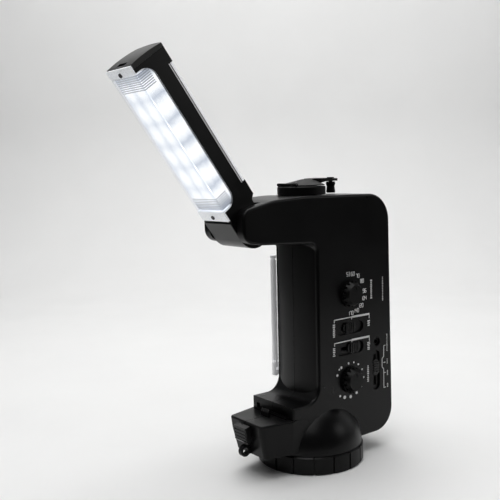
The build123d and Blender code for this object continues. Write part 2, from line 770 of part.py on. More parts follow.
# clear cover over the solar strip on the outer face
with BuildPart() as strip_cover:
    with BuildSketch(ACROSS.offset(STRIP_START + 0.2)):
        with BuildLine():
            Polyline((STRIP_V0, STRIP_HALF_W), (STRIP_V0, -STRIP_HALF_W),
                     (STRIP_V1, -STRIP_HALF_W))
            ThreePointArc((STRIP_V1, -STRIP_HALF_W), (STRIP_V1 + 2.0, 0),
                          (STRIP_V1, STRIP_HALF_W))
            Line((STRIP_V1, STRIP_HALF_W), (STRIP_V0, STRIP_HALF_W))
        make_face()
    extrude(amount=STRIP_L - 2 * 0.2)
    with BuildSketch(ACROSS.offset(STRIP_START + 1.8)):
        with Locations((11.3, 0)):
            Rectangle(2.2, 27.2)
    extrude(amount=STRIP_L - 2 * 1.8, mode=Mode.SUBTRACT)
out(strip_cover, "strip_cover")

with BuildPart() as solar_panel:
    with BuildSketch(ACROSS.offset(SOLAR_START)):
        with Locations((11.1, 0)):
            Rectangle(1.4, SOLAR_W)
    extrude(amount=SOLAR_L)
    # grooves between the cells
    with BuildSketch(bar_face(11.8)):
        for k in range(1, SOLAR_CELLS):
            with Locations((0, SOLAR_START + k * SOLAR_L / SOLAR_CELLS)):
                Rectangle(SOLAR_W, 0.5)
    extrude(amount=-0.2, mode=Mode.SUBTRACT)
out(solar_panel, "solar_panel")

with BuildPart() as handle_hinge_pin:
    with BuildSketch(SIDE):
        Circle(PIN_R)
    extrude(amount=20.8, both=True)
    chamfer(handle_hinge_pin.edges().filter_by(GeomType.CIRCLE), 0.4)
out(handle_hinge_pin, "handle_hinge_pin")

# ---------------------------------------------------------------- crank
HUB_R, HUB_Z0, HUB_Z1 = 17.8, 200.1, 206.3
CRANK_SHAFT_R = 4.0
FOLD_X, FOLD_Z = -18.5, 207.6          # fold hinge of the crank arm, along Y
LID_R = 17.2
LID_Z0, LID_Z1, LID_TOP = 206.8, 207.3, 211.4  # lid's rim, start of its cone, cone top
GRIP_X = 24.6                          # crank knob axis when folded
GRIP_PIN_R = 1.5

HUB_PROFILE = [                        # radius, z
    (0, 186.0), (CRANK_SHAFT_R, 186.0), (CRANK_SHAFT_R, HUB_Z0), (HUB_R - 0.5, HUB_Z0),
    (HUB_R, 200.6), (HUB_R, 205.7), (HUB_R - 0.6, HUB_Z1), (0, HUB_Z1),
]
LUG_PROFILE = [                        # x, z
    (FOLD_X - 2.3, HUB_Z1 - 0.3), (FOLD_X + 2.4, HUB_Z1 - 0.3),
    (FOLD_X + 1.25, FOLD_Z + 1.1), (FOLD_X - 1.25, FOLD_Z + 1.1),
]
LEVER_PROFILE = [                      # x, z
    (-1.0, 210.4), (3.0, 211.8), (12.0, 212.0), (30.0, 211.4), (30.0, 209.6), (15.0, 209.5),
    (8.0, 208.4), (-1.0, 208.2),
]
LEVER_PLAN = [                         # x, y, corner radius
    (-1.0, -4.5, 0), (9.0, -6.6, 0), (GRIP_X, -4.4, 0), (30.0, -3.0, 2.6),
    (30.0, 3.0, 2.6), (GRIP_X, 4.4, 0), (9.0, 6.6, 0), (-1.0, 4.5, 0),
]
KNOB_PROFILE = [                       # radius, z
    (1.56, 209.1), (3.2, 209.1), (3.6, 207.4), (2.9, 205.6), (3.5, 201.6), (3.1, 200.6),
    (2.5, 200.6), (2.5, 202.0), (1.56, 202.0),
]

# hub disc and shaft, turned about Z before moving to the crank axis
with BuildPart() as hub_body:
    with BuildSketch(Plane.XZ):
        with BuildLine():
            Polyline(*HUB_PROFILE, close=True)
        make_face()
    revolve(axis=Axis.Z)

with BuildPart() as crank_hub:
    add(Pos(CRANK_X, 0, 0) * hub_body.part)
    # lugs of the fold hinge
    with BuildSketch(Plane.XZ):
        with BuildLine():
            Polyline(*LUG_PROFILE, close=True)
        make_face()
    extrude(amount=8.0, both=True)
    with BuildSketch(Plane.XZ):
        with Locations((FOLD_X, FOLD_Z + 0.7)):
            Rectangle(8.0, 2 * (FOLD_Z + 0.7 - HUB_Z1))
    extrude(amount=5.6, both=True, mode=Mode.SUBTRACT)
    with BuildSketch(Plane.XZ):
        with Locations((FOLD_X, FOLD_Z)):
            Circle(0.62)
    extrude(amount=9.0, both=True, mode=Mode.SUBTRACT)
out(crank_hub, "crank_hub")

with BuildPart() as crank_arm:
    # conical lid that covers the hub, cut off at the fold hinge
    with BuildSketch(at_z(LID_Z0)):
        with Locations((CRANK_X, 0)):
            Circle(LID_R)
    extrude(amount=LID_Z1 - LID_Z0)
    with BuildSketch(at_z(LID_Z1)):
        with Locations((CRANK_X, 0)):
            Circle(LID_R)
    with BuildSketch(at_z(LID_TOP)):
        with Locations((0.8, 0)):
            Circle(4.0)
    loft(ruled=True)
    with BuildSketch(at_z(200)):
        with Locations((FOLD_X - 10, 0)):
            Rectangle(20, 40)
    extrude(amount=20, mode=Mode.SUBTRACT)
    # lever reaching out to the knob
    with BuildPart(mode=Mode.PRIVATE) as lever:
        with BuildSketch(Plane.XZ):
            with BuildLine():
                Polyline(*LEVER_PROFILE, close=True)
            make_face()
        extrude(amount=14.0, both=True)
        with BuildSketch(at_z(200)) as lever_plan:
            with BuildLine():
                Polyline(*corners(LEVER_PLAN), close=True)
            make_face()
            rounded(lever_plan, LEVER_PLAN)
        extrude(amount=20, mode=Mode.INTERSECT)
    add(lever.part)
    # hinge barrel, open at the hub's two lugs
    with BuildSketch(Plane.XZ):
        with Locations((FOLD_X, FOLD_Z)):
            Circle(1.15)
    extrude(amount=10.5, both=True)
    with BuildSketch(at_z(200)):
        with Locations((FOLD_X + 0.4, 6.8), (FOLD_X + 0.4, -6.8)):
            Rectangle(5.8, 2.8)
    extrude(amount=20, mode=Mode.SUBTRACT)
    # bores for the knob pin and the fold pin
    with BuildSketch(at_z(200)):
        with Locations((GRIP_X, 0)):
            Circle(GRIP_PIN_R)
    extrude(amount=20, mode=Mode.SUBTRACT)
    with BuildSketch(Plane.XZ):
        with Locations((FOLD_X, FOLD_Z)):
            Circle(0.67)
    extrude(amount=11.0, both=True, mode=Mode.SUBTRACT)
out(crank_arm, "crank_arm")

with BuildPart() as crank_fold_pin:
    with BuildSketch(Plane.XZ):
        with Locations((FOLD_X, FOLD_Z)):
            Circle(0.6)
    extrude(amount=10.2, both=True)
out(crank_fold_pin, "crank_fold_pin")

# lower head, pin and upper head
KNOB_PIN = [(200.9, 2.3, 0.9), (201.8, GRIP_PIN_R, 9.9), (211.7, 2.7, 0.7)]
out(disc_stack(GRIP_X, KNOB_PIN), "crank_knob_pin")

with BuildPart() as knob_body:
    with BuildSketch(Plane.XZ):
        with BuildLine():
            Polyline(*KNOB_PROFILE, close=True)
        make_face()
    revolve(axis=Axis.Z)
with BuildPart() as crank_knob:
    add(Pos(GRIP_X, 0, 0) * knob_body.part)
out(crank_knob, "crank_knob")

# ---------------------------------------------------------------- gears and dynamo
GEAR_TEETH, PINION_TEETH = 48, 12
GEAR_MODULE, BACKLASH = 0.8, 0.2
DYNAMO_X = CRANK_X + GEAR_MODULE * (GEAR_TEETH + PINION_TEETH) / 2
DYNAMO_SHAFT_R = 1.5


def gear_outline(teeth):
    """Trapezoid teeth on the pitch circle, thinned by the backlash."""
    pitch_r = teeth * GEAR_MODULE / 2
    root_r = pitch_r - 1.1 * GEAR_MODULE
    tip_r = pitch_r + 0.9 * GEAR_MODULE
    step = 2 * pi / teeth
    half = step / 4 - BACKLASH / (2 * pitch_r)
    points = []
    for k in range(teeth):
        for offset, radius in ((-half * 1.35, root_r), (-half * 0.55, tip_r),
                               (half * 0.55, tip_r), (half * 1.35, root_r)):
            angle = k * step + offset
            points.append((radius * cos(angle), radius * sin(angle)))
    return points


with BuildPart() as crank_gear:
    with BuildSketch(Plane(origin=(CRANK_X, 0, 188.0))):
        with BuildLine():
            Polyline(*gear_outline(GEAR_TEETH), close=True)
        make_face()
        Circle(CRANK_SHAFT_R, mode=Mode.SUBTRACT)
        with PolarLocations(11.0, 6):
            Circle(3.2, mode=Mode.SUBTRACT)
    extrude(amount=4.0)
out(crank_gear, "crank_gear")

# turned by half a tooth so that it meshes
half_tooth = pi / PINION_TEETH
with BuildPart() as dynamo_pinion:
    with BuildSketch(Plane(origin=(DYNAMO_X, 0, 187.6),
                           x_dir=(cos(half_tooth), sin(half_tooth), 0), z_dir=(0, 0, 1))):
        with BuildLine():
            Polyline(*gear_outline(PINION_TEETH), close=True)
        make_face()
        Circle(DYNAMO_SHAFT_R, mode=Mode.SUBTRACT)
    extrude(amount=4.8)
out(dynamo_pinion, "dynamo_pinion")

ROTOR = [(164.0, DYNAMO_SHAFT_R, 29.0), (168.5, 9.0, 12.0)]    # shaft and drum
out(disc_stack(DYNAMO_X, ROTOR), "dynamo_rotor")

with BuildPart() as dynamo_stator:
    with BuildSketch(Plane(origin=(DYNAMO_X, 0, 165.0))):
        Circle(14.0)
        Circle(DYNAMO_SHAFT_R + 0.06, mode=Mode.SUBTRACT)
    extrude(amount=20.0)
    with BuildSketch(Plane(origin=(DYNAMO_X, 0, 167.0))):
        Circle(9.6)
    extrude(amount=15.5, mode=Mode.SUBTRACT)
out(dynamo_stator, "dynamo_stator")

# ---------------------------------------------------------------- controls
KNOB_R, KNOB_H = 10.0, 6.2
KNOB_GAP = 0.3                         # gap between knob and panel
SKIRT_H = 2.4
MOUNT_Y = -13.4                        # inner end of the parts on the circuit board
SHAFT_BORE_Y = -15.9                   # floor of the shaft bores
CONTROL_DEPTH = 6.9


def rotary_knob(x, z):
    """Knob with a fluted skirt, scalloped cone, flat cap and shaft."""
    base = KNOB_GAP
    with BuildPart() as knob:
        with BuildSketch(panel_at(x, z, base)):
            Circle(KNOB_R)
            with PolarLocations(KNOB_R + 0.15, 30):
                Circle(0.55, mode=Mode.SUBTRACT)
        extrude(amount=SKIRT_H)
        with BuildSketch(panel_at(x, z, base + SKIRT_H)):
            Circle(KNOB_R - 0.5)
        extrude(amount=KNOB_H - SKIRT_H, taper=34)
        # scallops
        with BuildSketch(panel_at(x, z, base + 2.0)):
            with PolarLocations(KNOB_R - 0.35, 15):
                Circle(1.35)
        extrude(amount=5.0, mode=Mode.SUBTRACT)
        # shaft into the body
        with BuildSketch(panel_at(x, z, base)):
            Circle(2.4)
        extrude(amount=-7.4)
        # pointer slot near the top of the cap
        with BuildSketch(panel_at(x, z + 4.4, base + KNOB_H)):
            SlotOverall(3.2, 0.9, rotation=90)
        extrude(amount=-0.4, mode=Mode.SUBTRACT)
    return knob


out(rotary_knob(*TUNING), "tuning_knob")
out(rotary_knob(*VOLUME), "volume_knob")

with BuildPart() as tuning_capacitor:
    with BuildSketch(at_y(MOUNT_Y)):
        with Locations(TUNING):
            RectangleRounded(18, 18, 1)
    extrude(amount=CONTROL_DEPTH)
    with BuildSketch(at_y(SHAFT_BORE_Y)):
        with Locations(TUNING):
            Circle(2.45)
    extrude(amount=6.0, mode=Mode.SUBTRACT)
out(tuning_capacitor, "tuning_capacitor")

with BuildPart() as volume_control:
    with BuildSketch(at_y(MOUNT_Y)):
        with Locations(VOLUME):
            Circle(8.0)
        with Locations((VOLUME[0], VOLUME[1] - 7.0)):
            Rectangle(12, 6)
    extrude(amount=CONTROL_DEPTH)
    with BuildSketch(at_y(SHAFT_BORE_Y)):
        with Locations(VOLUME):
            Circle(2.45)
    extrude(amount=6.0, mode=Mode.SUBTRACT)
out(volume_control, "volume_control")


def switch_body(place, size, pocket):
    """Box of a slide switch with a pocket for the stem; sizes along X and Z."""
    with BuildPart() as body:
        with BuildSketch(at_y(MOUNT_Y)):
            with Locations(place):
                Rectangle(*size)
        extrude(amount=7.3)
        with BuildSketch(at_y(-17.4)):
            with Locations(place):
                Rectangle(*pocket)
        extrude(amount=6.0, mode=Mode.SUBTRACT)
    return body


def switch_slider(x, z, length, width, stem, upright=False):
    """Thumb piece of a slide switch with five cross ribs and a stem."""
    rib = (width - 1.4, 1.0) if upright else (1.0, width - 1.4)
    with BuildPart() as thumb:
        with BuildSketch(panel_at(x, z, -1.5)):
            SlotOverall(length, width, rotation=90 if upright else 0)
        extrude(amount=1.1)
        with BuildSketch(panel_at(x, z, -0.4)):
            for k in range(-2, 3):
                shift = k * 1.9
                with Locations((0, shift) if upright else (shift, 0)):
                    Rectangle(*rib)
        extrude(amount=1.0)
        with BuildSketch(panel_at(x, z, -1.5)):
            Rectangle(*stem)
        extrude(amount=-4.4)
    return thumb


FLAT_SWITCH = {"size": (20, 7), "pocket": (15.6, 3.0)}
FLAT_SLIDER = {"length": 13.0, "width": 8.5, "stem": (4.0, 2.6)}
out(switch_body(BAND, **FLAT_SWITCH), "band_switch_body")
out(switch_body(LAMP, **FLAT_SWITCH), "lamp_switch_body")
out(switch_body(MODE, size=(6.4, 26.4), pocket=(2.6, 22.6)), "mode_switch_body")
out(switch_slider(*BAND, **FLAT_SLIDER), "band_switch_slider")
# the lamp and mode sliders stand off centre
out(switch_slider(LAMP[0] + 4.5, LAMP[1], **FLAT_SLIDER), "lamp_switch_slider")
out(switch_slider(MODE[0], MODE[1] + 2.0, length=12.6, width=7.4, stem=(2.2, 4.0),
                  upright=True), "mode_switch_slider")

with BuildPart() as earphone_socket:
    with BuildSketch(at_y(MOUNT_Y)):
        with Locations(JACK):
            Circle(2.95)
    extrude(amount=HALF + MOUNT_Y - 1.6)
    with BuildSketch(at_y(MOUNT_Y - 1.0)):
        with Locations(JACK):
            Circle(1.8)
    extrude(amount=12, mode=Mode.SUBTRACT)
out(earphone_socket, "earphone_socket")

# ---------------------------------------------------------------- circuit board
BOARD_X, BOARD_Z = 28.0, 98.0
BOARD_Y = -11.8                        # inner face of the board
HOLE_DX, HOLE_DZ = 21.0, 50.0          # mounting holes from the board's centre
BOARD_HOLES = [(BOARD_X + side_x * HOLE_DX, BOARD_Z + side_z * HOLE_DZ)
               for side_z in (1, -1) for side_x in (-1, 1)]
COMPONENT_H = 3.0

with BuildPart() as main_circuit_board:
    with BuildSketch(at_y(BOARD_Y)):
        with Locations((BOARD_X, BOARD_Z)):
            Rectangle(48.0, 108.0)
        with Locations(*BOARD_HOLES):
            Circle(1.5, mode=Mode.SUBTRACT)
    extrude(amount=1.55)
out(main_circuit_board, "main_circuit_board")

# tuner chip, coils and capacitors standing on the board's inner face
with BuildPart() as board_components:
    with BuildSketch(at_y(BOARD_Y + COMPONENT_H)):
        with Locations((18.0, 88.0)):
            Rectangle(14, 9)
        with Locations((38.0, 112.0), (26.0, 112.0)):
            Rectangle(8, 8)
        with Locations((42.0, 90.0), (42.0, 78.0)):
            Circle(4.0)
    extrude(amount=COMPONENT_H)
out(board_components, "board_components")

# ---------------------------------------------------------------- speaker
SPEAKER_R = 17.0
BASKET_IN_R = SPEAKER_R - 2.0
CONE_R, CONE_NECK_R = SPEAKER_R - 2.3, 6.0

with BuildPart() as speaker_basket:
    # rim
    with BuildSketch(at_y(20.9)):
        with Locations(SPEAKER):
            Circle(SPEAKER_R)
            Circle(BASKET_IN_R, mode=Mode.SUBTRACT)
    extrude(amount=2.4)
    # hollow cone: outer loft, then the inner one taken away
    for sections, mode in (
            (((18.5, SPEAKER_R), (12.5, 10.0)), Mode.ADD),
            (((18.6, BASKET_IN_R), (13.7, 8.6)), Mode.SUBTRACT)):
        for y, radius in sections:
            with BuildSketch(at_y(y)):
                with Locations(SPEAKER):
                    Circle(radius)
        loft(ruled=True, mode=mode)
    # magnet pot on the inner end of the basket
    with BuildSketch(at_y(6.5)):
        with Locations(SPEAKER):
            Circle(9.5)
    extrude(amount=-6.0)
out(speaker_basket, "speaker_basket")

# thin cone: a loft less the same loft shifted towards the grille
with BuildPart() as speaker_cone:
    for shift, mode in ((0, Mode.ADD), (0.5, Mode.SUBTRACT)):
        for y, radius in ((19.6, CONE_R), (15.4, CONE_NECK_R)):
            with BuildSketch(at_y(y + shift)):
                with Locations(SPEAKER):
                    Circle(radius)
        loft(ruled=True, mode=mode)
out(speaker_cone, "speaker_cone")

# ---------------------------------------------------------------- ferrite antenna
FERRITE = (-5.5, 158.0)                # y, z of the rod's axis
FERRITE_R = 3.6

with BuildPart() as ferrite_rod:
    with BuildSketch(at_x(2)):
        with Locations(FERRITE):
            Circle(FERRITE_R)
    extrude(amount=46)
out(ferrite_rod, "ferrite_rod")

with BuildPart() as ferrite_coil:
    with BuildSketch(at_x(8)):
        with Locations(FERRITE):
            Circle(4.5)
            Circle(FERRITE_R + 0.05, mode=Mode.SUBTRACT)
    extrude(amount=14)
out(ferrite_coil, "ferrite_coil")

# ---------------------------------------------------------------- batteries
CELL_PITCH = 15.5
CELLS = [(11.5, DOOR_Z + k * CELL_PITCH) for k in (-1, 0, 1)]      # y, z of the axes
CELL_X0, CELL_L = 7.5, 48.5
TRAY_L = 50.0                          # tray length along Z
TRAY_Y, TRAY_T = 1.8, 1.8              # tray floor: face nearest the panel, thickness

with BuildPart() as battery_cells:
    # cans, then their end caps
    for x, radius, length in ((CELL_X0, 7.1, CELL_L), (CELL_X0 + CELL_L, 2.7, 1.5)):
        with BuildSketch(at_x(x)):
            with Locations(*CELLS):
                Circle(radius)
        extrude(amount=length)
out(battery_cells, "battery_cells")

with BuildPart() as battery_contacts:
    for x in (57.6, 6.9):
        with BuildSketch(at_x(x)):
            with Locations(*CELLS):
                Rectangle(10, 11)
        extrude(amount=0.5)
out(battery_contacts, "battery_contacts")

with BuildPart() as battery_tray:
    with BuildSketch(at_y(TRAY_Y)):
        with Locations((DOOR_X, DOOR_Z)):
            Rectangle(54.0, TRAY_L)
    extrude(amount=-TRAY_T)
    # end walls
    with BuildSketch(at_y(TRAY_Y + TRAY_T)):
        with Locations((5.8, DOOR_Z), (58.6, DOOR_Z)):
            Rectangle(0.8, TRAY_L)
    extrude(amount=-12.0)
out(battery_tray, "battery_tray")

DOOR_SCREWS = [(-50.0, DOOR_Z - 22.4), (-50.0, DOOR_Z + 22.4)]     # -x, z
DOOR_FACE = FAR.offset(-0.05)
DOOR_GAP = 0.2

with BuildPart() as battery_door:
    with BuildSketch(FAR.offset(-1.55)):
        with Locations((-DOOR_X, DOOR_Z)):
            RectangleRounded(DOOR_W - 2 * DOOR_GAP, DOOR_L - 2 * DOOR_GAP, 3 - DOOR_GAP)
    extrude(amount=1.5)
    # finger grooves
    with BuildSketch(DOOR_FACE):
        for k in range(5):
            with Locations((-12.0 - k * 1.8, DOOR_Z)):
                SlotOverall(14, 0.9, rotation=90)
    extrude(amount=-0.5, mode=Mode.SUBTRACT)
    # screw head seats and holes
    for radius, depth in ((2.0, 0.9), (0.9, 3)):
        with BuildSketch(DOOR_FACE):
            with Locations(*DOOR_SCREWS):
                Circle(radius)
        extrude(amount=-depth, mode=Mode.SUBTRACT)
out(battery_door, "battery_door")

with BuildPart() as battery_door_screws:
    for offset, radius, height in ((-0.95, 1.8, 0.8), (-1.5, 0.8, 0.55)):
        with BuildSketch(FAR.offset(offset)):
            with Locations(*DOOR_SCREWS):
                Circle(radius)
        extrude(amount=height)
out(battery_door_screws, "battery_door_screws")

# ---------------------------------------------------------------- charging port
COVER_X, COVER_T = 64.45, 1.3          # port cover: inner face and thickness
COVER_FACE_X = COVER_X + COVER_T
COVER_H = 13.3

with BuildPart() as charging_socket:
    with BuildSketch(at_x(59.6)):
        with Locations((0, PORT_Z)):
            RectangleRounded(9.4, 5.2, 0.8)
    extrude(amount=2.9)
    with BuildSketch(at_x(60.2)):
        with Locations((0, PORT_Z)):
            RectangleRounded(7.6, 3.4, 0.6)
    extrude(amount=4, mode=Mode.SUBTRACT)
out(charging_socket, "charging_socket")

with BuildPart() as port_cover:
    with BuildSketch(at_x(COVER_X)):
        with Locations((0, PORT_Z)):
            RectangleRounded(20.4, COVER_H, 2.7)
    extrude(amount=COVER_T)
    # plug on the inner face
    with BuildSketch(at_x(63.2)):
        with Locations((0, PORT_Z)):
            RectangleRounded(12.0, 6.8, 1.0)
    extrude(amount=1.3)
    # slot near the upper edge
    with BuildSketch(at_x(COVER_FACE_X)):
        with Locations((0, PORT_Z + 4.6)):
            SlotOverall(8.0, 1.4)
    extrude(amount=-0.6, mode=Mode.SUBTRACT)
    # hinge barrel along the lower edge
    with BuildSketch(Plane.XZ):
        with Locations((COVER_FACE_X, PORT_Z - COVER_H / 2)):
            Circle(0.5)
    extrude(amount=7.4, both=True)
out(port_cover, "port_cover")

# ---------------------------------------------------------------- antenna
ANT_X, ANT_Y = -11.4, 26.7             # mast axis
PIVOT = (ANT_Y, 67.6)                  # y, z of the pivot pin
STEM_R, STEM_COLLAR_R = 2.4, 3.4
SWIVEL_ARM = [                         # x, z
    (STEM_X, STEM_Z - STEM_COLLAR_R), (ANT_X, STEM_Z - 2.6), (ANT_X, STEM_Z + 1.6),
    (STEM_X, STEM_Z + STEM_COLLAR_R),
]
MAST_COLLARS = [(73.6, 1.1), (76.0, 0.8)]      # base z, height
TUBES = [                              # name, outer radius, inner radius, base z, top z
    ("antenna_section_middle", 1.87, 1.5, 73.2, 150.8),
    ("antenna_section_upper", 1.42, 1.1, 73.6, 151.3),
]


def mast_at(z):
    """Plane across the antenna mast, centred on its axis."""
    return Plane(origin=(ANT_X, ANT_Y, z))


# round knuckle with a clevis slot, carried on a stem in the column
with BuildPart() as antenna_swivel:
    with BuildSketch(mast_at(60.0)):
        Circle(2.6)
    extrude(amount=10.6)
    fillet(antenna_swivel.edges().group_by(Axis.Z)[0], 1.2)
    # arm between knuckle and stem
    with BuildSketch(at_y(24.0)):
        with BuildLine():
            Polyline(*SWIVEL_ARM, close=True)
        make_face()
        with Locations((STEM_X, STEM_Z)):
            Circle(STEM_COLLAR_R)
    extrude(amount=-3.4)
    with BuildSketch(at_y(18.6)):
        with Locations((STEM_X, STEM_Z)):
            Circle(STEM_R)
    extrude(amount=-5.5)
    # clevis slot and pivot bore
    with BuildSketch(mast_at(64.6)):
        Rectangle(1.9, 8.0)
    extrude(amount=10, mode=Mode.SUBTRACT)
    with BuildSketch(at_x(ANT_X - 5)):
        with Locations(PIVOT):
            Circle(0.8)
    extrude(amount=10, mode=Mode.SUBTRACT)
out(antenna_swivel, "antenna_swivel")

with BuildPart() as antenna_pivot_pin:
    with BuildSketch(at_x(ANT_X - 2.7)):
        with Locations(PIVOT):
            Circle(0.78)
    extrude(amount=5.4)
out(antenna_pivot_pin, "antenna_pivot_pin")

with BuildPart() as antenna_mast:
    with BuildSketch(mast_at(72.3)):
        Circle(2.3)
    extrude(amount=78.0)
    # flat tongue in the clevis
    with BuildSketch(at_x(ANT_X - 0.85)):
        with Locations(PIVOT):
            Circle(2.2)
        with Locations((ANT_Y, 70.2)):
            Rectangle(4.4, 5.0)
    extrude(amount=1.7)
    for z, height in MAST_COLLARS:
        with BuildSketch(mast_at(z)):
            Circle(2.5)
            Circle(2.2, mode=Mode.SUBTRACT)
        extrude(amount=height)
    # bore for the inner sections, then the pivot bore
    with BuildSketch(mast_at(73.0)):
        Circle(1.95)
    extrude(amount=80, mode=Mode.SUBTRACT)
    with BuildSketch(at_x(ANT_X - 5)):
        with Locations(PIVOT):
            Circle(0.84)
    extrude(amount=10, mode=Mode.SUBTRACT)
out(antenna_mast, "antenna_mast")

for name, outer_r, inner_r, base_z, top_z in TUBES:
    with BuildPart() as antenna_section:
        with BuildSketch(mast_at(base_z)):
            Circle(outer_r)
            Circle(inner_r, mode=Mode.SUBTRACT)
        extrude(amount=top_z - base_z)
    out(antenna_section, name)

# innermost rod with its end button
ROD_Z, ROD_L = 74.0, 77.6
with BuildPart() as antenna_tip:
    with BuildSketch(mast_at(ROD_Z)):
        Circle(1.02)
    extrude(amount=ROD_L)
    with BuildSketch(mast_at(ROD_Z + ROD_L)):
        Circle(2.4)
    extrude(amount=2.6)
    fillet(antenna_tip.edges().group_by(Axis.Z)[-1], 0.9)
out(antenna_tip, "antenna_tip")
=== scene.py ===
"""Portable radio with a crank, a mast and a lamp in its raised, leaning handle.

Z is up. The control panel faces -Y. The handle leans towards -X from its hinge.
Sizes are in millimetres unless a comment says metres; MM turns them into metres.
"""
import bpy
import bmesh
import math
import random
from mathutils import Matrix, Vector


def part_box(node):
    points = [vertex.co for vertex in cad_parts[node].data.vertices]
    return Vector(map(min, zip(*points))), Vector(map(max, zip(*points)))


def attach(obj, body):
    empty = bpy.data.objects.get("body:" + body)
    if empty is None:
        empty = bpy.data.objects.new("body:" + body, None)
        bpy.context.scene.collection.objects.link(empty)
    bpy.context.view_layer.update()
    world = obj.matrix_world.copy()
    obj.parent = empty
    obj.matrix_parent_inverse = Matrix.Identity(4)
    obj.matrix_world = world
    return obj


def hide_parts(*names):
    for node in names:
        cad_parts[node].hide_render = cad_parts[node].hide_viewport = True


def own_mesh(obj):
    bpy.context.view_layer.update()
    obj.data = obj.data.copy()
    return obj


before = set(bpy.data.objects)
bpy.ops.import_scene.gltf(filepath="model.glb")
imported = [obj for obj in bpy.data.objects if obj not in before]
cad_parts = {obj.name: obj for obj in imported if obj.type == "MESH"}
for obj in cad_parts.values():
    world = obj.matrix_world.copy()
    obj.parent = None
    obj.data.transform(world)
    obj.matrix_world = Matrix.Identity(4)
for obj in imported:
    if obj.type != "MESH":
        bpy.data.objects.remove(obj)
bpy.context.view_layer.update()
MM = 0.001
random.seed(7)

# Handle frame: along it from the hinge, and across it towards +X and up
LEAN = math.radians(36.0)
ALONG = (-math.sin(LEAN), 0.0, math.cos(LEAN))
ACROSS = (math.cos(LEAN), 0.0, math.sin(LEAN))
HINGE = (-61.7, 0.0, 179.6)

# Lamp LEDs, measured along the handle
FIRST_LED = 34.5
LED_PITCH = 17.0

# Inner wall of the lamp cover: its face (across) and its two sides (+-y)
COVER_FACE = -12.2
COVER_SIDE = 13.9

VIEW_TURN = math.radians(-37.4)     # the camera and the studio share this turn about Z


# ------------------------------------------------------------------ helpers
def point(x, y, z):
    """A point given in mm, in metres."""
    return Vector((x * MM, y * MM, z * MM))


def handle_point(across, y, along):
    """A point of the raised handle, given in mm in the handle's own frame."""
    place = Vector(HINGE) + Vector(ACROSS) * across + Vector(ALONG) * along
    return point(place.x, y, place.z)


def box_mm(piece):
    """Lowest and highest corner of a CAD piece, in mm."""
    return [Vector(corner) * 1000.0 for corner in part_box(piece)]


def new_object(name, verts, faces, body, material, smooth=None):
    """Mesh object riding on a body; edges sharper than `smooth` degrees stay sharp."""
    mesh = bpy.data.meshes.new(name)
    mesh.from_pydata([tuple(v) for v in verts], [], faces)
    mesh.validate()
    mesh.update()
    thing = bpy.data.objects.new(name, mesh)
    bpy.context.scene.collection.objects.link(thing)
    mesh.materials.append(material)
    work = bmesh.new()
    work.from_mesh(mesh)
    bmesh.ops.recalc_face_normals(work, faces=work.faces)
    if smooth is not None:
        for face in work.faces:
            face.smooth = True
        for edge in work.edges:
            if len(edge.link_faces) == 2 and edge.calc_face_angle(0) > math.radians(smooth):
                edge.smooth = False
    work.to_mesh(mesh)
    work.free()
    if body:
        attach(thing, body)
    return thing


def scaled(colour, factor):
    return tuple(c * factor for c in colour)


